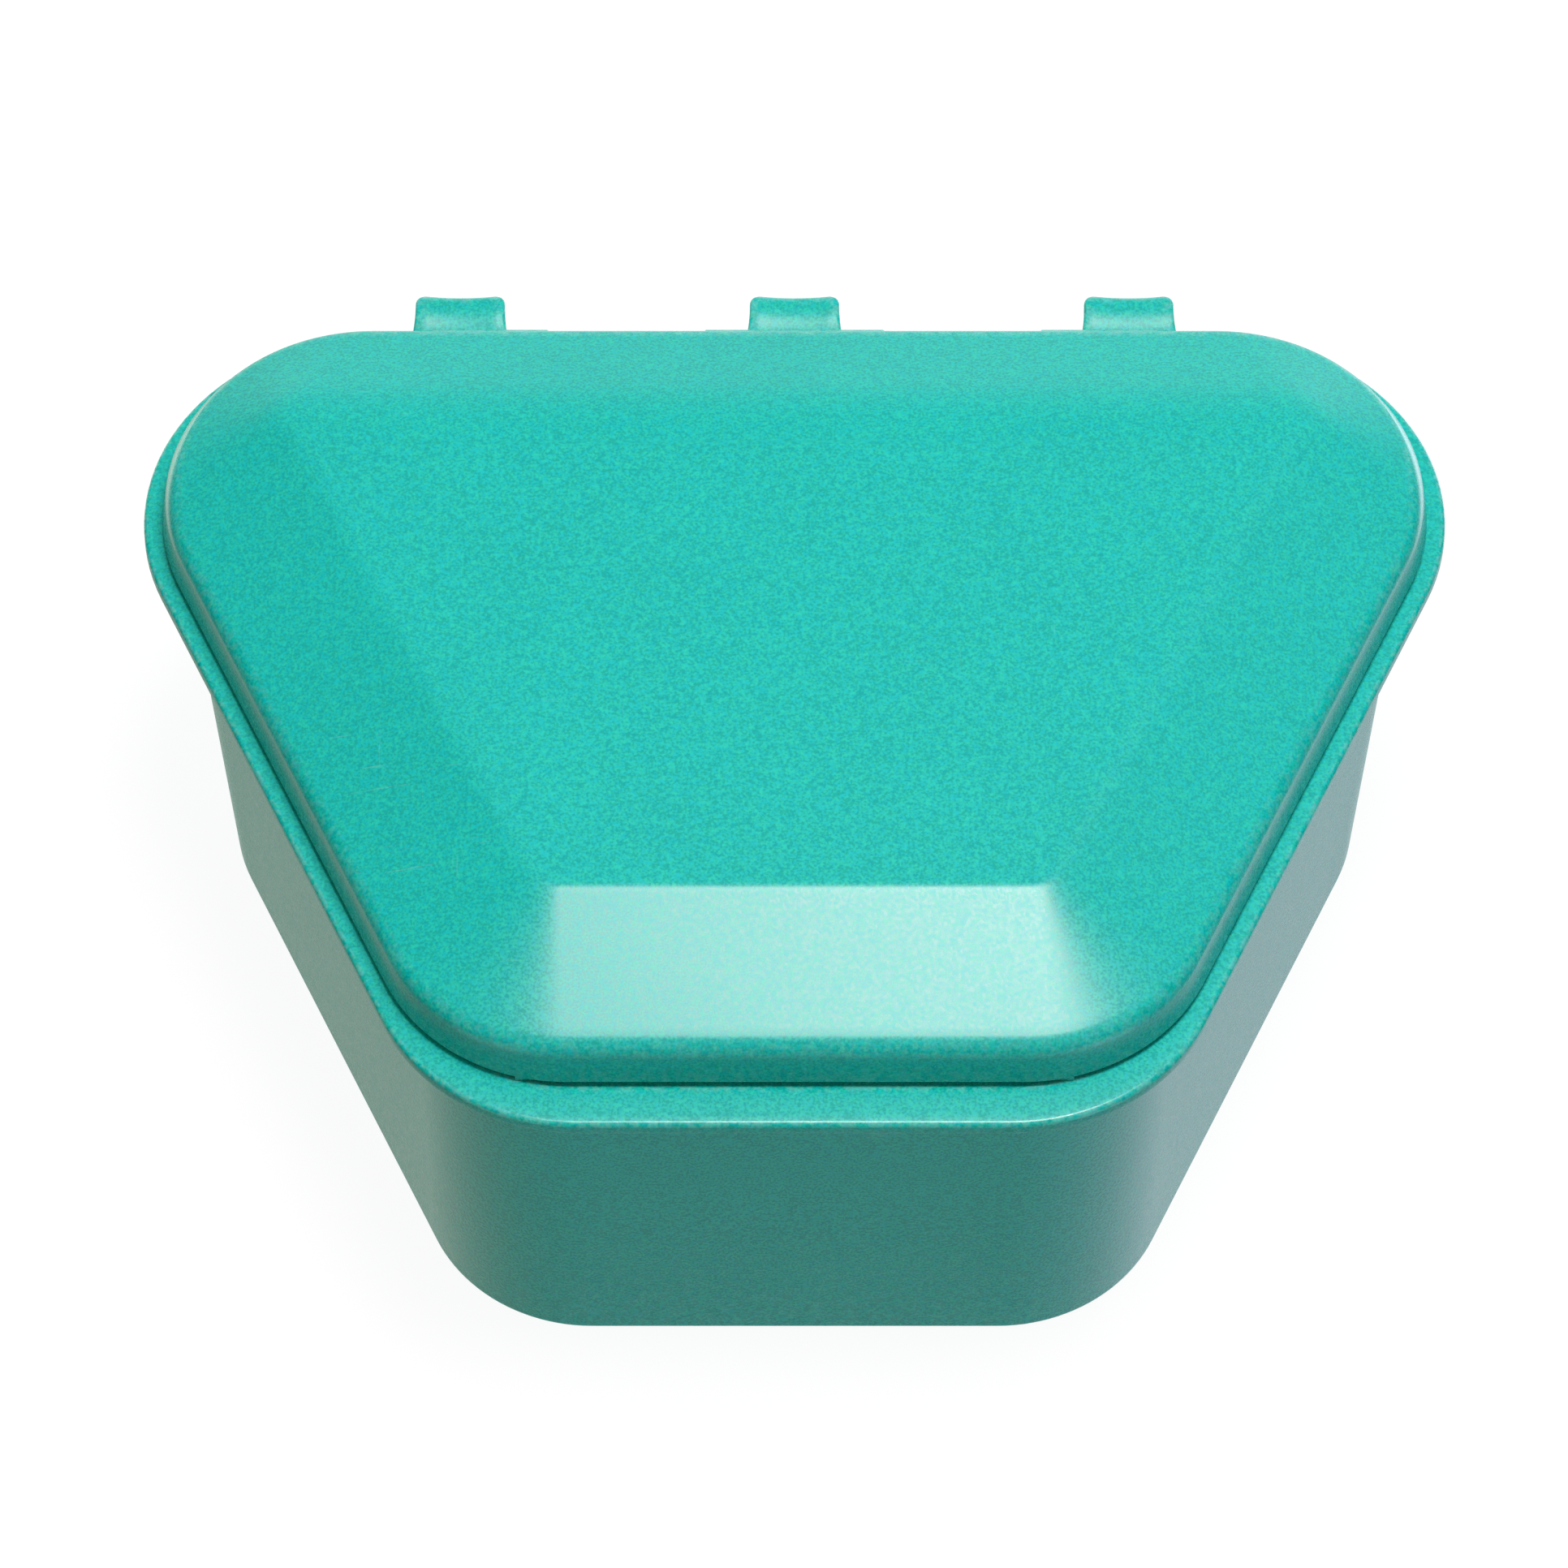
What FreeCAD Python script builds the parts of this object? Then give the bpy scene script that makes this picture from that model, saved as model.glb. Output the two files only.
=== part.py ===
import FreeCAD, Part
import math
import os

import Sketcher

# A covered feed hopper that hangs on cage wire: a tapered trough with a rim, three
# wire hooks and a feeding window in its rear wall, a hipped lid on a steel hinge rod,
# and a slide-in baffle that holds the feed back and lets it run down to the window.
# Front is -Y, rear is +Y, up is +Z. The trough stands on z = 0.

SIZES = {
    # rim outline: a trapezoid with rounded corners, its wide side at the rear
    "rim_depth": 138.5,
    "rim_front_half": 50.3,
    "flank_angle": 24.9,
    "rim_height": 68.0,
    "rear_radius": 33.0,
    "front_radius": 31.0,
    "rim_thick": 2.6,
    "rim_round": 0.8,
    # how far one shape runs into another where the two join
    "overlap": 1.0,
    # trough walls
    "rim_reach": 5.4,
    "wall_draft": 1.0,
    "wall_thick": 2.2,
    "floor_thick": 2.4,
    "rear_lean": 11.7,
    "corner_ease": 1.8,
    # feeding window in the rear wall
    "window_width": 94.0,
    "window_sill": 18.0,
    "window_head": 54.0,
    "window_radius": 9.0,
    # hooks and the ribs under them
    "hook_pitch": 50.0,
    "hook_width": 13.4,
    "hook_reach": 7.3,
    "hook_crest": 0.95,
    "hook_ramp": 2.6,
    "hook_thick": 2.2,
    "hook_drop": 12.0,
    "hook_round": 2.0,
    "throat_round": 1.0,
    "hook_root": 1.2,
    "rib_place": 54.0,
    "rib_thick": 3.0,
    "rib_start": 12.0,
    # hinge
    "hinge_inset": 4.4,
    "hinge_rise": 3.0,
    "barrel_radius": 2.4,
    "rod_radius": 1.0,
    "rod_play": 0.05,
    "rod_length": 112.0,
    "rod_chamfer": 0.3,
    "lug_width": 8.0,
    "knuckle_width": 9.0,
    "web_thick": 1.8,
    "side_play": 0.4,
    # lid
    "lid_gap": 0.5,
    "lid_front_inset": 6.4,
    "lid_side_inset": 2.5,
    "lid_rear_inset": 3.4,
    "skirt_height": 8.0,
    "skirt_draft": 0.9,
    "shoulder_round": 3.0,
    "crown_height": 15.3,
    "crown_front_run": 22.9,
    "crown_side_run": 21.8,
    "crown_rear_run": 20.3,
    "crown_radius": 1.2,
    "lid_thick": 2.0,
    "shoulder_inside": 1.6,
    "slot_half": 60.0,
    "slot_rise": 6.0,
    "slot_depth": 5.0,
    "rain_rib_inset": 9.6,
    "rain_rib_thick": 1.6,
    "rain_rib_rise": 8.9,
    "rest_pad_place": 36.0,
    "rest_pad_length": 7.0,
    "rest_pad_back": 0.9,
    "rest_pad_depth": 0.8,
    "rest_pad_play": 0.05,
    # baffle and its rails
    "baffle_place": 10.0,
    "baffle_thick": 2.0,
    "baffle_gap": 18.0,
    "baffle_leg": 10.0,
    "baffle_below_rim": 4.0,
    "baffle_round": 4.0,
    "rail_depth": 4.0,
    "rail_thick": 2.0,
    "rail_bite": 0.9,
    "slide_play": 0.3,
}

# outlines of the trough and the lid, as insets from the rim's outer edge
FLANK = ("(Sizes.rim_front_half * cos(Sizes.flank_angle * 1 deg)"
         " + Sizes.rim_depth / 2 * sin(Sizes.flank_angle * 1 deg))")
HALF_DEPTH = "Sizes.rim_depth / 2"
WALL_X = "((%s - Sizes.rim_reach - Sizes.wall_thick) / cos(Sizes.flank_angle * 1 deg))" % FLANK
SLANT = "tan(Sizes.flank_angle * 1 deg)"
HINGE_Y = "(Sizes.rim_depth / 2 - Sizes.hinge_inset)"
HINGE_Z = "(Sizes.rim_height + Sizes.hinge_rise)"

NEAR = 1e-4
HOOK_COUNT = 3


def make_sheet(doc):
    """Give every driving dimension a cell of its own, with its name as alias."""
    sheet = doc.addObject("Spreadsheet::Sheet", "Sizes")
    for row, (alias, value) in enumerate(SIZES.items(), start=1):
        sheet.set("A%d" % row, alias.replace("_", " "))
        sheet.set("B%d" % row, str(value))
        sheet.setAlias("B%d" % row, alias)
    doc.recompute()


def worth(text):
    """The value of an expression over the sheet, used as a sketch's first guess."""
    value = FreeCAD.ActiveDocument.Sizes.evalExpression(text)
    return float(getattr(value, "Value", value))


def make_body(doc, label):
    """A body whose origin lies midway between the front rim and the hooks' ends."""
    body = doc.addObject("PartDesign::Body", label)
    body.Label = label
    body.setExpression("Placement.Base.y", "-Sizes.hook_reach / 2")
    return body


def origin_part(body, role):
    """One of the body's own origin planes or axes, by its role."""
    return next(item for item in body.Origin.OriginFeatures if item.Role == role)


def new_sketch(body, name, plane, offset):
    """An empty sketch on one of the body's planes, moved along its normal."""
    sketch = body.newObject("Sketcher::SketchObject", name)
    sketch.AttachmentSupport = (origin_part(body, plane), [""])
    sketch.MapMode = "FlatFace"
    sketch.setExpression("AttachmentOffset.Base.z", offset)
    return sketch


def bind(sketch, constraint, name, text):
    """Add a sketch dimension and tie it to an expression over the sheet."""
    index = sketch.addConstraint(constraint)
    sketch.renameConstraint(index, name)
    sketch.setExpression("Constraints." + name, text)


def outline_sketch(body, name, level, front, flank, rear, front_round, rear_round):
    """A level trapezoid with rounded corners, symmetric about the YZ plane.

    front and rear are the distances of those edges from the XZ plane, and flank is
    the square distance of each side edge from the vertical axis.
    """
    sketch = new_sketch(body, name, "XY_Plane", level)
    tilt = math.radians(worth("Sizes.flank_angle"))
    y_front = -worth(front)
    y_rear = worth(rear)
    x_front = worth(flank) / math.cos(tilt) + y_front * math.tan(tilt)
    x_rear = worth(flank) / math.cos(tilt) + y_rear * math.tan(tilt)
    corners = [(-x_front, y_front), (x_front, y_front), (x_rear, y_rear), (-x_rear, y_rear)]
    radii = [worth(front_round), worth(front_round), worth(rear_round), worth(rear_round)]
    starts = []
    arcs = []
    for place, (corner, radius) in enumerate(zip(corners, radii)):
        here = FreeCAD.Vector(corner[0], corner[1], 0)
        before = FreeCAD.Vector(*corners[place - 1], 0) - here
        after = FreeCAD.Vector(*corners[(place + 1) % 4], 0) - here
        before.normalize()
        after.normalize()
        half = before.getAngle(after) / 2
        run = radius / math.tan(half)
        middle = before + after
        middle.normalize()
        centre = here + middle * (radius / math.sin(half))
        starts.append((here + before * run, here + after * run))
        first = here + before * run - centre
        last = here + after * run - centre
        circle = Part.Circle(centre, FreeCAD.Vector(0, 0, 1), radius)
        arcs.append(Part.ArcOfCircle(circle, math.atan2(first.y, first.x), math.atan2(last.y, last.x)))
    lines = [Part.LineSegment(starts[k][1], starts[(k + 1) % 4][0]) for k in range(4)]
    for k in range(4):
        sketch.addGeometry(lines[k])
        sketch.addGeometry(arcs[(k + 1) % 4])
    edge_front, edge_right, edge_rear, edge_left = 0, 2, 4, 6
    for k in range(8):
        sketch.addConstraint(Sketcher.Constraint("Tangent", k, 2, (k + 1) % 8, 1))
    sketch.addConstraint(Sketcher.Constraint("Horizontal", edge_front))
    sketch.addConstraint(Sketcher.Constraint("Horizontal", edge_rear))
    bind(sketch, Sketcher.Constraint("DistanceY", edge_front, 1, -1, 1, -y_front), "front", front)
    bind(sketch, Sketcher.Constraint("DistanceY", -1, 1, edge_rear, 1, y_rear), "rear", rear)
    for edge, side, sign in ((edge_right, "right", 1), (edge_left, "left", -1)):
        bind(sketch, Sketcher.Constraint("Angle", edge, sign * (math.pi / 2 - tilt)),
             side + "_angle", "%d * (90 - Sizes.flank_angle) * 1 deg" % sign)
        bind(sketch, Sketcher.Constraint("Distance", -1, 1, edge, worth(flank)), side, flank)
    for arc, corner, text in ((1, "front_right", front_round), (3, "rear_right", rear_round),
                              (5, "rear_left", rear_round), (7, "front_left", front_round)):
        bind(sketch, Sketcher.Constraint("Radius", arc, worth(text)), corner, text)
    return sketch


def inset_outline(body, name, level, front, side, rear, front_round, rear_round):
    """An outline given by how far each edge lies inside the rim's outer edge."""
    return outline_sketch(body, name, level, "%s - (%s)" % (HALF_DEPTH, front),
                          "%s - (%s)" % (FLANK, side), "%s - (%s)" % (HALF_DEPTH, rear),
                          front_round, rear_round)


def polygon_sketch(body, name, plane, offset, points):
    """A closed polygon whose corners are all placed from the plane's origin."""
    sketch = new_sketch(body, name, plane, offset)
    places = [FreeCAD.Vector(worth(across), worth(up), 0) for across, up in points]
    count = len(points)
    for k in range(count):
        sketch.addGeometry(Part.LineSegment(places[k], places[(k + 1) % count]))
    for k in range(count):
        sketch.addConstraint(Sketcher.Constraint("Coincident", k, 2, (k + 1) % count, 1))
    for k, (across, up) in enumerate(points):
        bind(sketch, Sketcher.Constraint("DistanceX", -1, 1, k, 1, places[k].x), "across%d" % k, across)
        bind(sketch, Sketcher.Constraint("DistanceY", -1, 1, k, 1, places[k].y), "up%d" % k, up)
    return sketch


def box_points(left, right, low, high):
    """The corners of an upright rectangle."""
    return [(left, low), (right, low), (right, high), (left, high)]


def raise_pad(body, name, sketch, length):
    """Pad a sketch along its normal."""
    pad = body.newObject("PartDesign::Pad", name)
    pad.Profile = sketch
    pad.setExpression("Length", length)
    return pad


def cut_pocket(body, name, sketch, length):
    """Cut a sketch along its normal, away from the side that a plain pocket takes."""
    pocket = body.newObject("PartDesign::Pocket", name)
    pocket.Profile = sketch
    pocket.setExpression("Length", length)
    pocket.Reversed = True


def loft(body, name, lower, upper, adds=True):
    """A straight-sided loft between two outlines."""
    feature = body.newObject("PartDesign::AdditiveLoft" if adds else "PartDesign::SubtractiveLoft", name)
    feature.Profile = lower
    feature.Sections = [upper]
    feature.Ruled = True
    return feature


def repeat_at_hooks(body, name, features):
    """Repeat features along X, once for each hook, and make that the body's last step."""
    pattern = body.newObject("PartDesign::LinearPattern", name)
    pattern.Originals = features
    pattern.Direction = (origin_part(body, "X_Axis"), [""])
    pattern.setExpression("Length", "%d * Sizes.hook_pitch" % (HOOK_COUNT - 1))
    pattern.Occurrences = HOOK_COUNT
    body.Tip = pattern
    return pattern


def bar(body, name, radius, start, length, adds=True):
    """A round bar or bore along X on the hinge axis."""
    kind = "PartDesign::AdditiveCylinder" if adds else "PartDesign::SubtractiveCylinder"
    cylinder = body.newObject(kind, name)
    cylinder.AttachmentSupport = (origin_part(body, "YZ_Plane"), [""])
    cylinder.MapMode = "FlatFace"
    cylinder.setExpression("Radius", radius)
    cylinder.setExpression("Height", length)
    cylinder.setExpression("AttachmentOffset.Base.x", HINGE_Y)
    cylinder.setExpression("AttachmentOffset.Base.y", HINGE_Z)
    cylinder.setExpression("AttachmentOffset.Base.z", start)
    return cylinder


def round_edges(body, name, feature, radius, wanted):
    """Fillet the edges of a feature that a test picks out."""
    FreeCAD.ActiveDocument.recompute()
    edges = ["Edge%d" % k for k, edge in enumerate(feature.Shape.Edges, start=1) if wanted(edge)]
    if not edges:
        raise RuntimeError("no edge to round for " + name)
    fillet = body.newObject("PartDesign::Fillet", name)
    fillet.Base = (feature, edges)
    fillet.setExpression("Radius", radius)
    FreeCAD.ActiveDocument.recompute()
    return fillet


def lies_level(edge, height):
    """Whether an edge lies in the level plane at a height."""
    box = edge.BoundBox
    return abs(box.ZMin - height) < NEAR and abs(box.ZMax - height) < NEAR


def runs_along(edge, direction):
    """Whether an edge is a straight line parallel to a direction."""
    ends = [vertex.Point for vertex in edge.Vertexes]
    if len(ends) != 2 or edge.Curve.TypeId != "Part::GeomLine":
        return False
    run = ends[1] - ends[0]
    return run.cross(direction).Length < NEAR * run.Length


ALONG_X = FreeCAD.Vector(1, 0, 0)
ALONG_Y = FreeCAD.Vector(0, 1, 0)


def edge_at(edge, y, z):
    """Whether an edge along X stands at a place in the YZ plane."""
    point = edge.Vertexes[0].Point
    return runs_along(edge, ALONG_X) and abs(point.y - y) < NEAR and abs(point.z - z) < NEAR


def make_trough(doc):
    """The trough: leaning walls, rim, window, hooks, ribs, hinge lugs and baffle rails."""
    body = make_body(doc, "trough")
    wall_front_round = "Sizes.front_radius - Sizes.rim_reach"
    wall_rear_round = "Sizes.rear_radius - Sizes.rim_reach"
    foot = "Sizes.rim_reach + Sizes.wall_draft"
    foot_rear = "Sizes.rim_reach + Sizes.rear_lean"
    foot_rear_round = wall_rear_round + " - Sizes.corner_ease"

    low = inset_outline(body, "wall_foot", "0", foot, foot, foot_rear,
                        wall_front_round, foot_rear_round)
    high = inset_outline(body, "wall_head", "Sizes.rim_height", "Sizes.rim_reach",
                         "Sizes.rim_reach", "Sizes.rim_reach", wall_front_round, wall_rear_round)
    loft(body, "walls", low, high)

    rim_sketch = inset_outline(body, "rim_outline", "Sizes.rim_height - Sizes.rim_thick",
                               "0", "0", "0", "Sizes.front_radius", "Sizes.rear_radius")
    rim = raise_pad(body, "rim", rim_sketch, "Sizes.rim_thick")
    rim_top = worth("Sizes.rim_height")
    round_edges(body, "rim_edge", rim, "Sizes.rim_round", lambda edge: lies_level(edge, rim_top))

    floor_share = "(1 - Sizes.floor_thick / Sizes.rim_height)"
    inner = "Sizes.rim_reach + Sizes.wall_thick + Sizes.wall_draft * " + floor_share
    inner_rear = "Sizes.rim_reach + Sizes.wall_thick + Sizes.rear_lean * " + floor_share
    front_round = wall_front_round + " - Sizes.wall_thick"
    rear_round = wall_rear_round + " - Sizes.wall_thick"
    cave_low = inset_outline(body, "cavity_foot", "Sizes.floor_thick", inner, inner, inner_rear,
                             front_round, rear_round + " - Sizes.corner_ease * " + floor_share)
    mouth = "Sizes.rim_reach + Sizes.wall_thick"
    cave_high = inset_outline(body, "cavity_head", "Sizes.rim_height", mouth, mouth, mouth,
                              front_round, rear_round)
    loft(body, "cavity", cave_low, cave_high, adds=False)

    # two pairs of rails, one pair on each side wall, hold the baffle upright
    floor = "Sizes.floor_thick - Sizes.overlap"
    rail_length = "Sizes.rim_height - Sizes.baffle_below_rim - (%s)" % floor
    rail_gap = "(Sizes.baffle_thick / 2 + Sizes.slide_play)"
    for side, sign in (("left", "-1"), ("right", "1")):
        for place, near, far in (("front", "-%s - Sizes.rail_thick" % rail_gap, "-" + rail_gap),
                                 ("rear", rail_gap, "%s + Sizes.rail_thick" % rail_gap)):
            points = []
            for reach, along in (("-Sizes.rail_depth", near), ("Sizes.rail_bite", near),
                                 ("Sizes.rail_bite", far), ("-Sizes.rail_depth", far)):
                y = "(Sizes.baffle_place + %s)" % along
                points.append(("%s * (%s + %s * %s + %s)" % (sign, WALL_X, y, SLANT, reach), y))
            name = "rail_%s_%s" % (side, place)
            rail = polygon_sketch(body, name + "_plan", "XY_Plane", floor, points)
            raise_pad(body, name, rail, rail_length)

    # the window is cut to the rear, from midway between the middle and the rear edge
    window_plan = polygon_sketch(body, "window_shape", "XZ_Plane", "-%s / 2" % HALF_DEPTH, box_points(
        "-Sizes.window_width / 2", "Sizes.window_width / 2", "Sizes.window_sill", "Sizes.window_head"))
    window = body.newObject("PartDesign::Pocket", "window")
    window.Profile = window_plan
    window.setExpression("Length", HALF_DEPTH)
    levels = (worth("Sizes.window_sill"), worth("Sizes.window_head"))
    half_window = worth("Sizes.window_width / 2")

    def window_corner(edge):
        point = edge.Vertexes[0].Point
        return (runs_along(edge, ALONG_Y) and abs(abs(point.x) - half_window) < NEAR
                and any(abs(point.z - level) < NEAR for level in levels))

    round_edges(body, "window_corners", window, "Sizes.window_radius", window_corner)

    # ribs under the outer hooks keep the box upright against the cage
    rib_points = [(HALF_DEPTH, "Sizes.rib_start"), (HALF_DEPTH, "Sizes.rim_height - Sizes.rim_thick / 2"),
                  (HALF_DEPTH + " - Sizes.rim_reach - Sizes.wall_thick / 2",
                   "Sizes.rim_height - Sizes.rim_thick / 2"),
                  (HALF_DEPTH + " - Sizes.rim_reach - Sizes.rear_lean - Sizes.wall_thick / 2",
                   "Sizes.floor_thick / 2")]
    for side, start in (("left", "-Sizes.rib_place - Sizes.rib_thick / 2"),
                        ("right", "Sizes.rib_place - Sizes.rib_thick / 2")):
        rib = polygon_sketch(body, "rib_%s_side" % side, "YZ_Plane", start, rib_points)
        raise_pad(body, "rib_" + side, rib, "Sizes.rib_thick")

    # wire hooks: a strap off the rear of the rim that curls down to a free end
    top = "Sizes.rim_height"
    tip = "Sizes.rim_height + Sizes.hook_crest - Sizes.hook_drop"
    root = HALF_DEPTH + " - Sizes.hook_root"
    leg = HALF_DEPTH + " + Sizes.hook_reach - Sizes.hook_thick"
    end = HALF_DEPTH + " + Sizes.hook_reach"
    crest = "Sizes.rim_height + Sizes.hook_crest"
    throat = crest + " - Sizes.hook_thick"
    hook_points = [(root, top + " - Sizes.rim_thick"), (root, top), (HALF_DEPTH, top),
                   (HALF_DEPTH + " + Sizes.hook_ramp", crest), (end, crest), (end, tip),
                   (leg, tip), (leg, throat), (HALF_DEPTH, throat),
                   (HALF_DEPTH, top + " - Sizes.rim_thick")]
    hook_side = polygon_sketch(body, "hook_side", "YZ_Plane",
                               "-Sizes.hook_pitch - Sizes.hook_width / 2", hook_points)
    hook = raise_pad(body, "hook", hook_side, "Sizes.hook_width")
    hooks = repeat_at_hooks(body, "hooks", [hook])
    bend = round_edges(body, "hook_bend", hooks, "Sizes.hook_round",
                       lambda edge: edge_at(edge, worth(end), worth(crest)))
    round_edges(body, "throat_bend", bend, "Sizes.throat_round",
                lambda edge: edge_at(edge, worth(leg), worth(throat)))

    # lugs on the rim carry the hinge rod
    lug_start = "-Sizes.hook_pitch - Sizes.lug_width / 2"
    lug_side = polygon_sketch(body, "lug_side", "YZ_Plane", lug_start, box_points(
        HINGE_Y + " - Sizes.barrel_radius", HINGE_Y + " + Sizes.barrel_radius",
        "Sizes.rim_height - Sizes.rim_thick / 2", HINGE_Z))
    lug = raise_pad(body, "lug", lug_side, "Sizes.lug_width")
    barrel = bar(body, "lug_barrel", "Sizes.barrel_radius", lug_start, "Sizes.lug_width")
    repeat_at_hooks(body, "lugs", [lug, barrel])
    bore = bar(body, "rod_bore", "Sizes.rod_radius", "-Sizes.rod_length / 2", "Sizes.rod_length", adds=False)
    body.Tip = bore
    return body


def make_lid(doc):
    """The lid: an upright skirt, a hipped crown and knuckles that turn on the rod."""
    body = make_body(doc, "lid")
    front = "Sizes.lid_front_inset"
    side = "Sizes.lid_side_inset"
    rear = "Sizes.lid_rear_inset"
    front_round = "Sizes.front_radius - Sizes.lid_side_inset"
    rear_round = "Sizes.rear_radius - Sizes.lid_side_inset"
    foot_z = "Sizes.rim_height + Sizes.lid_gap"
    shoulder_z = "Sizes.rim_height + Sizes.skirt_height"
    crown_z = "Sizes.rim_height + Sizes.crown_height"
    drafted = " + Sizes.skirt_draft"

    foot = inset_outline(body, "skirt_foot", foot_z, front, side, rear, front_round, rear_round)
    shoulder = inset_outline(body, "shoulder", shoulder_z, front + drafted, side + drafted,
                             rear + drafted, front_round + " - Sizes.skirt_draft",
                             rear_round + " - Sizes.skirt_draft")
    loft(body, "skirt", foot, shoulder)
    shoulder_again = inset_outline(body, "crown_foot", shoulder_z, front + drafted, side + drafted,
                                   rear + drafted, front_round + " - Sizes.skirt_draft",
                                   rear_round + " - Sizes.skirt_draft")
    plateau = inset_outline(body, "plateau", crown_z, front + drafted + " + Sizes.crown_front_run",
                            side + drafted + " + Sizes.crown_side_run",
                            rear + drafted + " + Sizes.crown_rear_run",
                            "Sizes.crown_radius", "Sizes.crown_radius")
    crown = loft(body, "crown", shoulder_again, plateau)
    shoulder_top = worth(shoulder_z)
    round_edges(body, "shoulder_edge", crown, "Sizes.shoulder_round",
                lambda edge: lies_level(edge, shoulder_top))

    # the hollow keeps an even wall under the skirt, the slopes and the plateau
    inner = " + Sizes.lid_thick"
    hollow_round = " - Sizes.lid_thick"
    hollow_foot = inset_outline(body, "hollow_foot", foot_z, front + inner, side + inner, rear + inner,
                                front_round + hollow_round, rear_round + hollow_round)
    under_z = shoulder_z + " - Sizes.shoulder_inside"
    hollow_mid = inset_outline(body, "hollow_shoulder", under_z, front + drafted + inner,
                               side + drafted + inner, rear + drafted + inner,
                               front_round + " - Sizes.skirt_draft" + hollow_round,
                               rear_round + " - Sizes.skirt_draft" + hollow_round)
    loft(body, "skirt_hollow", hollow_foot, hollow_mid, adds=False)
    hollow_mid_again = inset_outline(body, "hollow_crown_foot", under_z, front + drafted + inner,
                                     side + drafted + inner, rear + drafted + inner,
                                     front_round + " - Sizes.skirt_draft" + hollow_round,
                                     rear_round + " - Sizes.skirt_draft" + hollow_round)
    hollow_top = inset_outline(body, "hollow_plateau", crown_z + " - Sizes.lid_thick",
                               front + drafted + " + Sizes.crown_front_run",
                               side + drafted + " + Sizes.crown_side_run",
                               rear + drafted + " + Sizes.crown_rear_run",
                               "Sizes.crown_radius", "Sizes.crown_radius")
    loft(body, "crown_hollow", hollow_mid_again, hollow_top, adds=False)

    # the rear skirt is cut back over the rod, and a rib behind the slot keeps rain out
    slot_side = polygon_sketch(body, "slot_side", "YZ_Plane", "-Sizes.slot_half", box_points(
        HALF_DEPTH + " - Sizes.lid_rear_inset - Sizes.slot_depth", HALF_DEPTH,
        "Sizes.rim_height", "Sizes.rim_height + Sizes.slot_rise"))
    cut_pocket(body, "hinge_slot", slot_side, "2 * Sizes.slot_half")
    rib_side = polygon_sketch(body, "rain_rib_side", "YZ_Plane", "-Sizes.slot_half - Sizes.lid_thick",
                              box_points(HALF_DEPTH + " - Sizes.rain_rib_inset - Sizes.rain_rib_thick",
                                         HALF_DEPTH + " - Sizes.rain_rib_inset", foot_z,
                                         "Sizes.rim_height + Sizes.rain_rib_rise"))
    raise_pad(body, "rain_rib", rib_side, "2 * (Sizes.slot_half + Sizes.lid_thick)")

    # four knuckles, one beside the middle lug and one beside the outer lug on each side
    near_place = "(Sizes.lug_width / 2 + Sizes.side_play + Sizes.knuckle_width / 2)"
    far_place = "(Sizes.hook_pitch - %s)" % near_place
    for name, place in (("far_left", "-" + far_place), ("near_left", "-" + near_place),
                        ("near_right", near_place), ("far_right", far_place)):
        start = place + " - Sizes.knuckle_width / 2"
        web = polygon_sketch(body, "web_%s_side" % name, "YZ_Plane", start, box_points(
            HINGE_Y + " - Sizes.barrel_radius", HINGE_Y + " - Sizes.barrel_radius + Sizes.web_thick",
            HINGE_Z, shoulder_z + " - Sizes.overlap"))
        raise_pad(body, "web_" + name, web, "Sizes.knuckle_width")
        bar(body, "knuckle_" + name, "Sizes.barrel_radius", start, "Sizes.knuckle_width")

    # two low pads under the front skirt rest on the rim when the lid is shut
    for name, start in (("left", "-Sizes.rest_pad_place - Sizes.rest_pad_length / 2"),
                        ("right", "Sizes.rest_pad_place - Sizes.rest_pad_length / 2")):
        pad_side = polygon_sketch(body, "rest_pad_%s_side" % name, "YZ_Plane", start, box_points(
            "-%s + %s + Sizes.rest_pad_back" % (HALF_DEPTH, front),
            "-%s + %s + Sizes.rest_pad_back + Sizes.rest_pad_depth" % (HALF_DEPTH, front),
            "Sizes.rim_height + Sizes.rest_pad_play", foot_z + " + Sizes.overlap"))
        raise_pad(body, "rest_pad_" + name, pad_side, "Sizes.rest_pad_length")

    bore = bar(body, "knuckle_bore", "Sizes.rod_radius + Sizes.rod_play", "-Sizes.rod_length / 2",
               "Sizes.rod_length", adds=False)
    body.Tip = bore
    return body


def make_rod(doc):
    """The steel hinge rod, with its ends broken by a small chamfer."""
    body = make_body(doc, "hinge_rod")
    rod = bar(body, "rod", "Sizes.rod_radius", "-Sizes.rod_length / 2", "Sizes.rod_length")
    doc.recompute()
    rims = ["Edge%d" % k for k, edge in enumerate(rod.Shape.Edges, start=1)
            if edge.Curve.TypeId == "Part::GeomCircle"]
    chamfer = body.newObject("PartDesign::Chamfer", "rod_ends")
    chamfer.Base = (rod, rims)
    chamfer.setExpression("Size", "Sizes.rod_chamfer")
    return body


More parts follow.
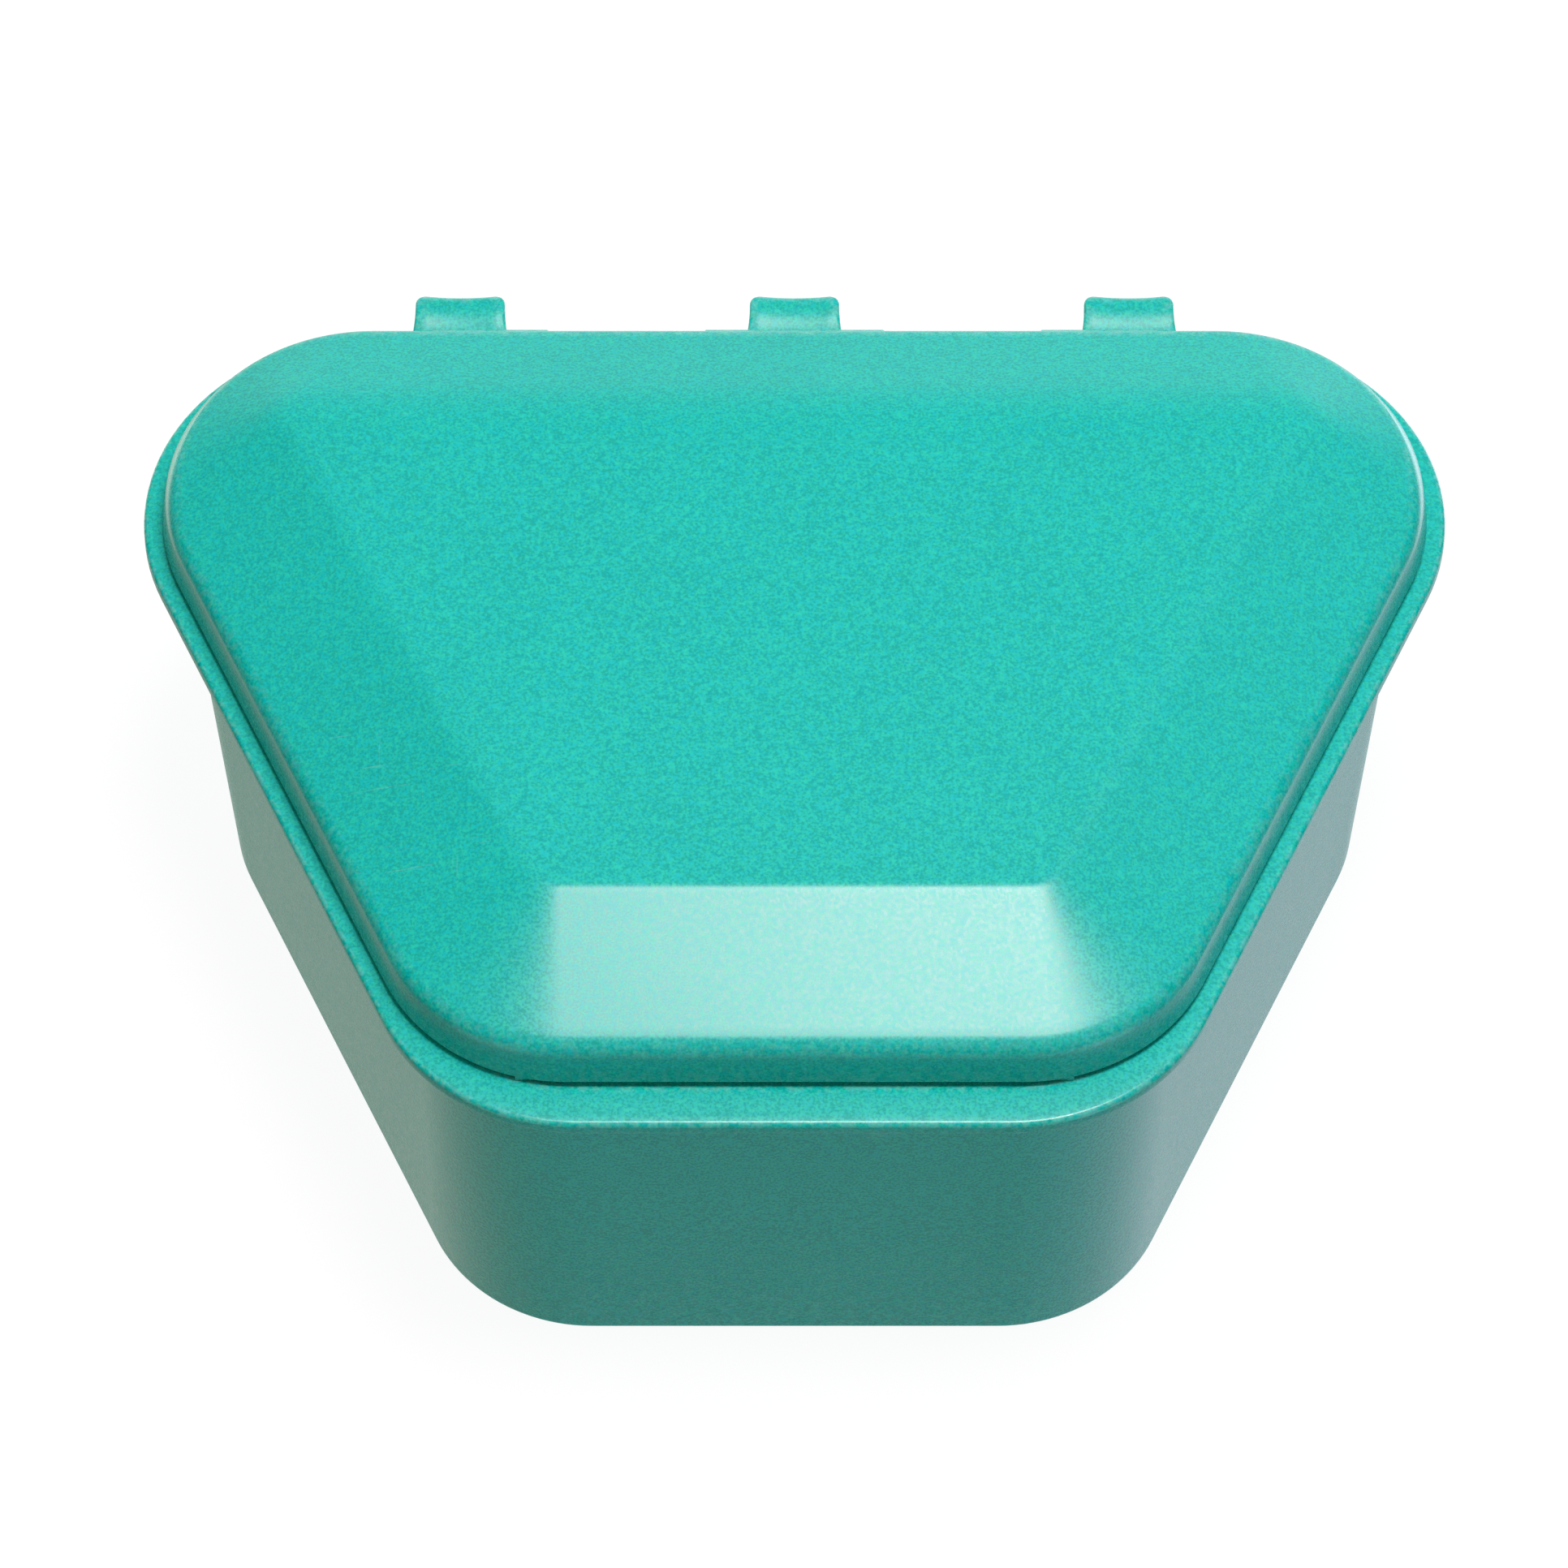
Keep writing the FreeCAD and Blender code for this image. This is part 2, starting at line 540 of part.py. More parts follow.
def make_baffle(doc):
    """The slide-in baffle: a plate on two legs, open at the bottom for the feed."""
    body = make_body(doc, "feed_baffle")
    y = "(Sizes.baffle_place - Sizes.baffle_thick / 2)"
    top_half = "(%s + %s * %s - Sizes.slide_play)" % (WALL_X, y, SLANT)
    foot_half = "(%s - Sizes.wall_draft / cos(Sizes.flank_angle * 1 deg))" % top_half
    leg_half = "(%s - Sizes.baffle_leg)" % foot_half
    foot_z = "Sizes.floor_thick"
    gap_z = "Sizes.floor_thick + Sizes.baffle_gap"
    top_z = "Sizes.rim_height - Sizes.baffle_below_rim"
    points = [("-" + foot_half, foot_z), ("-" + leg_half, foot_z), ("-" + leg_half, gap_z),
              (leg_half, gap_z), (leg_half, foot_z), (foot_half, foot_z),
              (top_half, top_z), ("-" + top_half, top_z)]
    # the XZ plane's normal points to the front, so the offset is minus the rear face's Y
    shape = polygon_sketch(body, "plate_shape", "XZ_Plane", "-" + y + " - Sizes.baffle_thick", points)
    plate = raise_pad(body, "plate", shape, "Sizes.baffle_thick")
    gap_top = worth(gap_z)

    def gap_corner(edge):
        return runs_along(edge, ALONG_Y) and abs(edge.Vertexes[0].Point.z - gap_top) < NEAR

    round_edges(body, "gap_corners", plate, "Sizes.baffle_round", gap_corner)
    return body


def check(doc, parts):
    """Stop if any object failed or any sub-part isn't one sound solid."""
    for item in doc.Objects:
        if "Invalid" in item.State or "Error" in item.State:
            raise RuntimeError("%s failed: %s" % (item.Name, item.State))
    for part in parts:
        if part.Shape.isNull() or not part.Shape.isValid() or len(part.Shape.Solids) != 1:
            raise RuntimeError("%s isn't one sound solid" % part.Label)
        box = part.Shape.BoundBox
        print("%-12s volume %9.1f mm3  x %7.2f..%7.2f  y %7.2f..%7.2f  z %7.2f..%7.2f" % (
            part.Label, part.Shape.Volume, box.XMin, box.XMax, box.YMin, box.YMax, box.ZMin, box.ZMax))


def main():
    doc = FreeCAD.newDocument("feed_hopper")
    make_sheet(doc)
    parts = [make_trough(doc), make_lid(doc), make_rod(doc), make_baffle(doc)]
    doc.recompute()
    check(doc, parts)
    os.makedirs("parts", exist_ok=True)
    for part in parts:
        part.Shape.exportStep("parts/%s.step" % part.Label)


if __name__ == "__main__":
    main()
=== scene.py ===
import math

import bmesh
import bpy
from bpy.props import FloatProperty, FloatVectorProperty, IntProperty, PointerProperty
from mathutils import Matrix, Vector


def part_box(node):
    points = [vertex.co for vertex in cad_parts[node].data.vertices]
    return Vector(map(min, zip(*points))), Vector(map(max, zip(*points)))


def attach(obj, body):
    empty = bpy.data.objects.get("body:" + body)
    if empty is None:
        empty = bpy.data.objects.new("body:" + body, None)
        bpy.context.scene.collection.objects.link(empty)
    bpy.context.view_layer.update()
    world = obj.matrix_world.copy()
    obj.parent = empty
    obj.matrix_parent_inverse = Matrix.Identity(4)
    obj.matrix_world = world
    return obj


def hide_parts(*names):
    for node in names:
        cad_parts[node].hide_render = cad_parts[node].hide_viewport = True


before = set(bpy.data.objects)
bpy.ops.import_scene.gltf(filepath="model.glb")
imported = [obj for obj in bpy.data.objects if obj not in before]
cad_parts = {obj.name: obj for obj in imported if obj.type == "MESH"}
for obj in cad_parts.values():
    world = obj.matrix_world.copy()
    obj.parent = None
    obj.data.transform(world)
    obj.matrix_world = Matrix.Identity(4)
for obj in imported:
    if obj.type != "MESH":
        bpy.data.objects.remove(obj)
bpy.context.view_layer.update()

# The finished look of a covered feed hopper that hangs on cage wire. The trough, its hooks
# and hinge lugs, the hipped lid with its knuckles and the slide-in baffle are moulded in a
# satin teal plastic. The hinge rod is zinc-plated wire. Front is -Y, and lengths are metres.

bl_info = {
    "name": "Feed Hopper",
    "version": (1, 0, 0),
    "blender": (4, 5, 0),
    "location": "3D View > Sidebar > Hopper",
    "description": "Builds the moulded pieces of a hanging feed hopper and a studio for it",
    "category": "Object",
}

MM = 0.001
TROUGH_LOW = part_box("trough")[0]
ROD_LOW, ROD_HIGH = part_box("hinge_rod")
BAFFLE_LOW, BAFFLE_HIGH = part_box("feed_baffle")


def length(name, millimetres, text=""):
    """A length property whose default is given in millimetres."""
    return FloatProperty(name=name, description=text, default=millimetres * MM, precision=5,
                         subtype="DISTANCE", unit="LENGTH")


def share(name, value, text=""):
    """A factor property from 0 to 1."""
    return FloatProperty(name=name, description=text, default=value, min=0, max=1, subtype="FACTOR")


def amount(name, value, text=""):
    """A plain number property."""
    return FloatProperty(name=name, description=text, default=value, precision=3)


def angle(name, degrees, text=""):
    """An angle property whose default is given in degrees."""
    return FloatProperty(name=name, description=text, default=math.radians(degrees),
                         subtype="ANGLE", unit="ROTATION")


def colour(name, value, text=""):
    """A colour property, with the value as linear light."""
    return FloatVectorProperty(name=name, description=text, default=value, size=3, min=0, max=1,
                               subtype="COLOR")


class TroughSizes(bpy.types.PropertyGroup):
    """Sizes of the trough's rim, walls and window."""

    rim_depth: length("Rim depth", 138.5)
    front_half: length("Front half", 50.3, "Half the rim's width at its front edge, at the sharp corner")
    flank: angle("Flank", 24.9, "Turn of each side edge away from straight back")
    front_radius: length("Rim's front radius", 31)
    rear_radius: length("Rim's rear radius", 33)
    rim_height: length("Rim's top above the ground", 68)
    rim_thick: length("Rim thickness", 2.6)
    rim_round: length("Rim rounding", 0.8, "Height of the rim's rounded outer edge")
    rim_crown: length("Rim crown", 0.22, "How far the rim's top falls from the mouth to its rounded edge")
    rim_under: length("Rim's lower rounding", 0.4)
    rim_fillet: length("Rim fillet", 0.9, "Fillet between the walls and the rim's underside")
    rim_reach: length("Rim's reach beyond the walls", 5.4)
    mouth_round: length("Mouth rounding", 0.6)
    wall: length("Wall thickness", 2.2)
    draft: length("Wall draft", 1, "How far the walls lean in at the foot")
    rear_lean: length("Rear lean", 11.7, "How far the rear wall leans in at the foot")
    corner_ease: length("Corner ease", 1.8, "How much less the rear corners' radius is at the foot")
    base_round: length("Base rounding", 1.3)
    floor: length("Floor thickness", 2.4)
    floor_fillet: length("Floor fillet", 2)
    window_half: length("Window half width", 47)
    window_sill: length("Window sill above the ground", 18)
    window_head: length("Window head above the ground", 54)
    window_radius: length("Window radius", 9)
    window_round: length("Window rounding", 0.7)
    panel_half: length("Rear panel half width", 55, "Half the width of the flat panel round the window")
    rail_depth: length("Rail depth", 4, "How far the baffle's rails stand out from the side walls")
    rail_thick: length("Rail thickness", 2)
    rail_play: length("Rail play", 0.3, "Gap between the baffle and each rail")
    rail_drop: length("Rails' end below the rim", 4)
    rib_place: length("Ribs' distance from the middle", 54)
    rib_thick: length("Rib thickness", 3)
    rib_start: length("Ribs' foot above the ground", 12)


class HookSizes(bpy.types.PropertyGroup):
    """Sizes of the wire hooks."""

    count: IntProperty(name="Count", description="Number of hooks", default=3, min=1)
    pitch: length("Pitch", 50, "Distance from hook to hook, two cells of the cage mesh")
    width: length("Width", 13.4)
    reach: length("Reach", 7.3, "How far a hook stands out behind the rim")
    crest: length("Crest", 0.95, "Height of the hook's sides above the rim")
    dish: length("Dish", 0.26, "How far the hook's middle lies below its sides")
    ramp: length("Ramp", 4.6, "Length of the slope up from the rim")
    thick: length("Thickness", 2.2)
    drop: length("Drop", 12, "How far the free end hangs below the crest")
    bend: length("Bend's outer radius", 2)
    throat: length("Bend's inner radius", 1)
    shoulder: length("Shoulder", 2.4, "How much each side draws in round the bend")
    flare: length("Flare", 0.6, "How much each side widens into the rim")
    edge: length("Edge rounding", 0.5)
    root: length("Root", 1.4, "How far a hook runs into the rim")
    root_rise: length("Root rise", 0.3, "How far a hook's root lies above the rim's underside")
    lead: length("Lead", 0.6, "How far inside the rim's edge the slope starts")
    gusset: share("Gusset", 0.55, "How far the underside thickens down towards the rim's")
    tip_round: share("Tip rounding", 0.9, "How near to a full round the free end is, front to back")
    tip_narrow: share("Tip narrowing", 0.8, "How near to a full round it is from side to side")


class LidSizes(bpy.types.PropertyGroup):
    """Sizes of the hipped lid."""

    gap: length("Gap", 0.5)
    front_inset: length("Skirt inside the rim's front", 6.4)
    side_inset: length("Skirt inside the rim's sides", 2.5)
    rear_inset: length("Skirt inside the rim's rear", 3.4)
    skirt: length("Shoulder's corner above the rim", 8)
    skirt_draft: length("Skirt draft", 0.9, "How far the skirt leans in at the shoulder")
    foot_round: length("Foot rounding", 0.35, "Rounding of the skirt's lower inner edge")
    foot_cove: length("Foot cove", 0.8, "Rounding of the skirt's lower outer edge")
    shoulder: length("Shoulder rounding", 2.0, "Length rounded off on each side of the shoulder")
    rear_shoulder: length("Rear shoulder's rounding", 3.3)
    crown: length("Crown height", 15.3, "Plateau's height above the rim")
    front_run: length("Front slope, from above", 22.9)
    side_run: length("Side slopes, from above", 21.8)
    rear_run: length("Rear slope, from above", 20.3)
    plateau_front_radius: length("Plateau's front radius", 5.0)
    plateau_radius: length("Plateau radius", 1.2)
    front_crease: length("Front crease", 0.7)
    side_crease: length("Side crease", 1.8)
    rear_crease: length("Rear crease", 6)
    wall: length("Wall thickness", 2)
    shoulder_inside: length("Inner shoulder", 1.6, "Hollow's shoulder below the outer one")
    slot_half: length("Slot half width", 60)
    slot_rise: length("Slot rise", 6, "Top of the hinge slot above the rim")
    rain_rib_inset: length("Rain rib inside the rim's rear", 9.6)
    rain_rib_thick: length("Rain rib thickness", 1.6)
    rain_rib_rise: length("Rain rib rise", 8.9, "Top of the rain rib above the rim")
    pad_place: length("Rest pads' distance from the middle", 36)
    pad_length: length("Rest pad length", 7)
    pad_back: length("Rest pad set-back", 0.9, "How far the rest pads lie behind the skirt's face")
    pad_depth: length("Rest pad depth", 0.9)
    pad_play: length("Rest pad play", 0.05, "Gap between the rest pads and the rim")
    pad_rise: length("Rest pad rise", 1, "Top of the rest pads above the lid's foot")
    pad_edge: length("Rest pad rounding", 0.15)


class HingeSizes(bpy.types.PropertyGroup):
    """Sizes of the lugs on the rim and the knuckles on the lid."""

    barrel: length("Barrel radius", 2.4)
    lug_width: length("Lug width", 8)
    knuckle_width: length("Knuckle width", 9)
    side_play: length("Side play", 0.4, "Gap between a lug and the knuckle beside it")
    web: length("Web thickness", 1.8, "Thickness of the web from a knuckle up to the lid")
    web_drop: length("Web drop", 0.6, "How far the webs end below the shoulder's corner")
    flare: length("Flare", 0.5, "How much a lug widens into the rim")
    edge: length("Edge rounding", 0.3)


class BaffleSizes(bpy.types.PropertyGroup):
    """Sizes of the slide-in baffle."""

    gap: length("Gap", 18)
    leg: length("Leg", 10)
    corner: length("Corner radius", 4)
    draft: length("Draft", 1.1, "How much narrower each side is at the foot")
    edge: length("Edge rounding", 0.35)


class PlasticFinish(bpy.types.PropertyGroup):
    """The satin moulded plastic."""

    green: colour("Green", (0.014, 0.680, 0.518))
    blue: colour("Blue", (0.001, 0.608, 0.600))
    deep: colour("Deep colour", (0.002, 0.320, 0.270), "The colour in the grain's hollows")
    depth: share("Grain contrast", 0.62)
    roughness: share("Roughness", 0.29)
    roughness_spread: share("Roughness spread", 0.05)
    grain: length("Grain size", 0.42)
    coarse: share("Coarse grain", 0.25, "Share of a coarser grain mixed into the fine one")
    relief: length("Grain depth", 0.012)
    cloud: length("Size of slow changes of tone", 22)
    clouding: share("Clouding", 0.08, "Share of the slow changes in the tone")
    scuffs: share("Scuffs", 0.15)
    scuff_roughness: share("Scuff roughness", 0.25)
    # edge paling: partly real edge wear, partly a painted highlight along the rounded edges such as the
    # rim's outer edge
    wear_and_highlight: share("Edge wear", 0.2)
    wear_polish: share("Edge polish", 0.06, "How much smoother the worn edges are")
    paleness: share("Paleness", 0.45, "How near to white the scuffs and worn edges are")


class WireFinish(bpy.types.PropertyGroup):
    """The zinc-plated steel of the hinge rod."""

    base: colour("Colour", (0.60, 0.61, 0.62))
    dullness: share("Dullness", 0.62, "Brightness of the dull patches against the rest")
    roughness: share("Least roughness", 0.22)
    roughest: share("Most roughness", 0.44)
    streak: length("Drawing lines' width", 0.12)
    stretch: share("Stretch", 0.02, "Width of the drawing lines against their length")
    bloom: length("Size of dull patches", 4)
    relief: length("Drawing lines' depth", 0.01)


class StudioSetup(bpy.types.PropertyGroup):
    """Camera, lights and backdrop."""

    elevation: angle("Elevation", 56.31, "Camera's height above the horizon")
    distance: length("Distance from the aim", 1287.7)
    aim: length("Aim", 13.4, "How far in front of the rim's middle the camera aims")
    lens: amount("Focal length, mm", 204.97)
    shift: amount("Shift", 0.00673, "Shift of the picture to the left and up")
    softbox_tint: colour("Softbox tint", (1.0, 0.90, 0.90))
    softbox: length("Softbox", 400, "Side of the square softbox overhead")
    softbox_rise: length("Softbox above the ground", 1250)
    softbox_side: length("Softbox side", 125, "How far the softbox stands to the right")
    softbox_power: FloatProperty(name="Softbox power", description="Power of the softbox", default=11.2,
                                 subtype="POWER", unit="POWER")
    sky: amount("Sky", 0.33)
    horizon: amount("Horizon", 0.95, "Brightness behind and beside the object")
    front: amount("Front", 0.39, "Brightness of the ground in front of the object")
    near_ground: amount("Near ground", 0.82, "Brightness factor of the ground close by")
    far_ground: amount("Far ground", 1.15, "Brightness factor of the ground further off")
    side_ground: amount("Side ground", 3.4, "Brightness factor of the ground to the sides")
    side_dimming: share("Side dimming", 0.95, "How much darker the sides are above the ground")
    front_sky: amount("Front sky", 0.05, "Brightness above the ground in front of the object")
    left: amount("Left", 0.84, "Brightness factor of the left side")
    right: amount("Right", 1.36, "Brightness factor of the right side")
    left_tint: colour("Left tint", (0.88, 1.0, 0.86))
    right_tint: colour("Right tint", (0.86, 0.93, 1.0))
    floor_tone: colour("Floor tone", (0.12, 0.12, 0.12))
    floor_glow: amount("Floor glow", 0.93, "Light that the white floor gives back by itself")
    floor_size: length("Floor size", 8000)


GROUPS = {
    "hopper_trough": TroughSizes,
    "hopper_hooks": HookSizes,
    "hopper_lid": LidSizes,
    "hopper_hinge": HingeSizes,
    "hopper_baffle": BaffleSizes,
    "hopper_plastic": PlasticFinish,
    "hopper_wire": WireFinish,
    "hopper_studio": StudioSetup,
}

FRONT_ARC = 22
REAR_ARC = 34
FLANK_STEPS = 8
ROUND_STEPS = 5
CORNER_STEPS = 8
CREASE_STEPS = 12
CROWN_STEPS = 6
BEND_STEPS = 9
BARREL_STEPS = 24
LUG_STEPS = 18
EDGE_STEPS = 3
EDGE_SHARE = 0.4
REAR_EASE = 0.6
SLOPE_START = 0.94
SLOPE_MIDDLE = 0.6
SHARP = math.radians(25)
# convex edges are paled from a turn of the first angle to full at the second, partly as real edge wear and
# partly as a painted highlight
WORN_AND_HIGHLIT = "worn_and_highlit"
WORN_AND_HIGHLIT_FROM = math.radians(4)
WORN_AND_HIGHLIT_FULL = math.radians(14)

# places of a mix node's two colours and of its mixed colour among its sockets
MIX_COLOURS = (6, 7)
MIX_RESULT = 2

# scuffs: the turn of each set of lines, and how much its pattern is squeezed along each axis
SCUFF_LINES = ((0.6, (9, 140, 9)), (-0.9, (160, 8, 12)))
SCUFF_SIZE = 110 * MM
SCUFF_PATCH = 30 * MM

# a hook's leg and its round tip, as parts of their length at which its stations stand
LEG_PARTS = (0.35, 0.7, 0.9)
TIP_PARTS = (0.25, 0.55, 0.8, 0.95, 1.0)

# a lug's foot, as shares of its flare, out from the barrel and up from the rim
FLARE_CURVE = ((1, 0), (0.3, 0.5), (0, 1.4))

# ranges of a direction's part along an axis, over which the surroundings change
REARWARD = (-0.4, 0.35)
SKYWARD = (-0.25, 0.1)
OVERHEAD = (0.1, 0.65)
OUTWARD = (-0.75, -0.5)
GROUND_END = (-0.35, 0)
SIDEWARD = (0.2, 0.6)
FLANKS = (0.6, 0.85)
LEFT_TO_RIGHT = (-0.6, 0.6)
TINTING = (-0.5, 0.5)

SENSOR_WIDTH = 36


# ---------------------------------------------------------------- outlines and shells

def rim_middle(trough):
    """The Y of the middle of the rim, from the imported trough's front edge."""
    return TROUGH_LOW.y + trough.rim_depth / 2


def arc(centre, radius, start, end, steps):
    """Points on an arc, both ends included, as pairs. The angles are in radians."""
    turns = [start + (end - start) * k / steps for k in range(steps + 1)]
    return [(centre[0] + radius * math.cos(t), centre[1] + radius * math.sin(t)) for t in turns]


def ring(trough, insets, radii, height, panel_half):
    """A level trapezoid ring with rounded corners, counter-clockwise from its front right.

    insets are how far the front, side and rear edges lie inside the rim's outer edge.
    panel_half marks a point on the rear edge, to each side of the middle.
    """
    tilt = trough.flank
    front, side, rear = insets
    front_radius, rear_radius = radii
    half_depth = trough.rim_depth / 2
    reach = trough.front_half * math.cos(tilt) + half_depth * math.sin(tilt) - side
    y_front = front - half_depth + front_radius
    y_rear = half_depth - rear - rear_radius
    x_front = (reach - front_radius + y_front * math.sin(tilt)) / math.cos(tilt)
    x_rear = (reach - rear_radius + y_rear * math.sin(tilt)) / math.cos(tilt)
    half = arc((x_front, y_front), front_radius, -math.pi / 2, -tilt, FRONT_ARC)
    back = arc((x_rear, y_rear), rear_radius, -tilt, math.pi / 2, REAR_ARC)
    start, end = half[-1], back[0]
    for k in range(1, FLANK_STEPS):
        part = k / FLANK_STEPS
        half.append((start[0] + (end[0] - start[0]) * part, start[1] + (end[1] - start[1]) * part))
    half += back
    half.append((panel_half, half_depth - rear))
    middle = rim_middle(trough)
    right = [Vector((x, y + middle, height)) for x, y in half]
    left = [Vector((-x, y + middle, height)) for x, y in reversed(half)]
    return right + left


def bridge(mesh, lower, upper, keep=lambda place: True):
    """Quads between two rings of equal count, where keep allows them."""
    count = len(lower)
    for k in range(count):
        if keep(k):
            n = (k + 1) % count
            mesh.faces.new((lower[k], lower[n], upper[n], upper[k]))


def close_level(mesh, loop):
    """Close a left-right symmetrical level ring with strips that run across it."""
    count = len(loop)
    half = count // 2
    for k in range(half - 3):
        mesh.faces.new((loop[k], loop[k + 1], loop[count - 2 - k], loop[count - 1 - k]))
    mesh.faces.new(loop[half - 3:half + 3])


def quarter(radius):
    """Steps of a quarter round, as pairs of what is still missing along each side."""
    turns = [math.pi / 2 * k / ROUND_STEPS for k in range(ROUND_STEPS + 1)]
    return [(radius * (1 - math.sin(t)), radius * (1 - math.cos(t))) for t in turns]


def prism(mesh, outline, along, edge):
    """A closed prism with rounded edges: a polygon of points pushed along a vector."""
    first = [mesh.verts.new(point) for point in outline]
    second = [mesh.verts.new(point + along) for point in outline]
    faces = [mesh.faces.new(first), mesh.faces.new(second)]
    count = len(outline)
    for k in range(count):
        n = (k + 1) % count
        faces.append(mesh.faces.new((first[k], first[n], second[n], second[k])))
    bmesh.ops.recalc_face_normals(mesh, faces=faces)
    edges = {e for face in faces for e in face.edges if e.calc_face_angle(0) > SHARP}
    bmesh.ops.bevel(mesh, geom=list(edges), offset=edge, segments=EDGE_STEPS, profile=0.5,
                    affect="EDGES", clamp_overlap=True)


def mark_worn_and_highlit_edges(mesh):
    """Store on every vertex how much it stands out along a convex edge, from 0 to 1; the plastic is paler
    there, partly as real edge wear and partly as a painted highlight.
    """
    layer = mesh.verts.layers.float.new(WORN_AND_HIGHLIT)
    for vert in mesh.verts:
        turn = max((edge.calc_face_angle_signed(0) for edge in vert.link_edges), default=0)
        vert[layer] = min(1, max(0, (turn - WORN_AND_HIGHLIT_FROM) / (WORN_AND_HIGHLIT_FULL - WORN_AND_HIGHLIT_FROM)))


def new_piece(name, mesh, material, flat_angle=35):
    """Turn a bmesh into a smooth-shaded object at the origin."""
    bmesh.ops.recalc_face_normals(mesh, faces=mesh.faces)
    mark_worn_and_highlit_edges(mesh)
    data = bpy.data.meshes.new(name)
    mesh.to_mesh(data)
    mesh.free()
    piece = bpy.data.objects.new(name, data)
    bpy.context.scene.collection.objects.link(piece)
    data.shade_smooth()
    data.set_sharp_from_angle(angle=math.radians(flat_angle))
    data.materials.append(material)
    return piece


# ---------------------------------------------------------------- materials

def node_adder(tree):
    """A short way to add a node to a tree, with its settings and its links."""
    def add(kind, links=(), **settings):
        node = tree.nodes.new(kind)
        for key, value in settings.items():
            setattr(node, key, value)
        for socket, source in links:
            tree.links.new(source, node.inputs[socket])
        return node

    return add


def node_tree(name):
    """A new material, its tree and shader, and a short way to add nodes."""
    material = bpy.data.materials.new(name)
    material.use_nodes = True
    tree = material.node_tree
    return material, tree, tree.nodes["Principled BSDF"], node_adder(tree)


def shared(add, first, second, part):
    """A sum of two patterns, of which the second has the given part."""
    return arithmetic(add, "ADD", arithmetic(add, "MULTIPLY", first, 1 - part),
                      arithmetic(add, "MULTIPLY", second, part))


def add_relief(add, tree, shader, height, strength, depth):
    """Turn the shader's normal by a height pattern."""
    bump = add("ShaderNodeBump", [("Height", height)])
    bump.inputs["Strength"].default_value = strength
    bump.inputs["Distance"].default_value = depth
    tree.links.new(bump.outputs["Normal"], shader.inputs["Normal"])


def noise_over(add, place, size, detail=2, rough=0.5):
    """A noise pattern of a given size over a position."""
    node = add("ShaderNodeTexNoise", [("Vector", place)])
    node.inputs["Scale"].default_value = 1 / size
    node.inputs["Detail"].default_value = detail
    node.inputs["Roughness"].default_value = rough
    return node.outputs["Fac"]


def remap(add, source, low, high, to_low=0.0, to_high=1.0):
    """A smooth map of a value from one range to another."""
    node = add("ShaderNodeMapRange", [("Value", source)], interpolation_type="SMOOTHSTEP")
    for key, value in (("From Min", low), ("From Max", high), ("To Min", to_low), ("To Max", to_high)):
        node.inputs[key].default_value = value
    return node.outputs["Result"]


def blend_colours(add, factor, first, second):
    """A mix of two colours, each a socket or a constant."""
    node = add("ShaderNodeMix", [("Factor", factor)], data_type="RGBA")
    for place, value in zip(MIX_COLOURS, (first, second)):
        if isinstance(value, bpy.types.NodeSocket):
            node.id_data.links.new(value, node.inputs[place])
        else:
            node.inputs[place].default_value = (*value, 1)
    return node.outputs[MIX_RESULT]


def arithmetic(add, operation, first, second):
    """A math node over two values, each a socket or a number."""
    node = add("ShaderNodeMath", operation=operation)
    for place, value in enumerate((first, second)):
        if isinstance(value, bpy.types.NodeSocket):
            node.id_data.links.new(value, node.inputs[place])
        else:
            node.inputs[place].default_value = value
    return node.outputs[0]


def between(add, part, first, second):
    """A value part of the way from one value to another, each a socket or a number."""
    gap = arithmetic(add, "SUBTRACT", second, first)
    return arithmetic(add, "ADD", first, arithmetic(add, "MULTIPLY", gap, part))


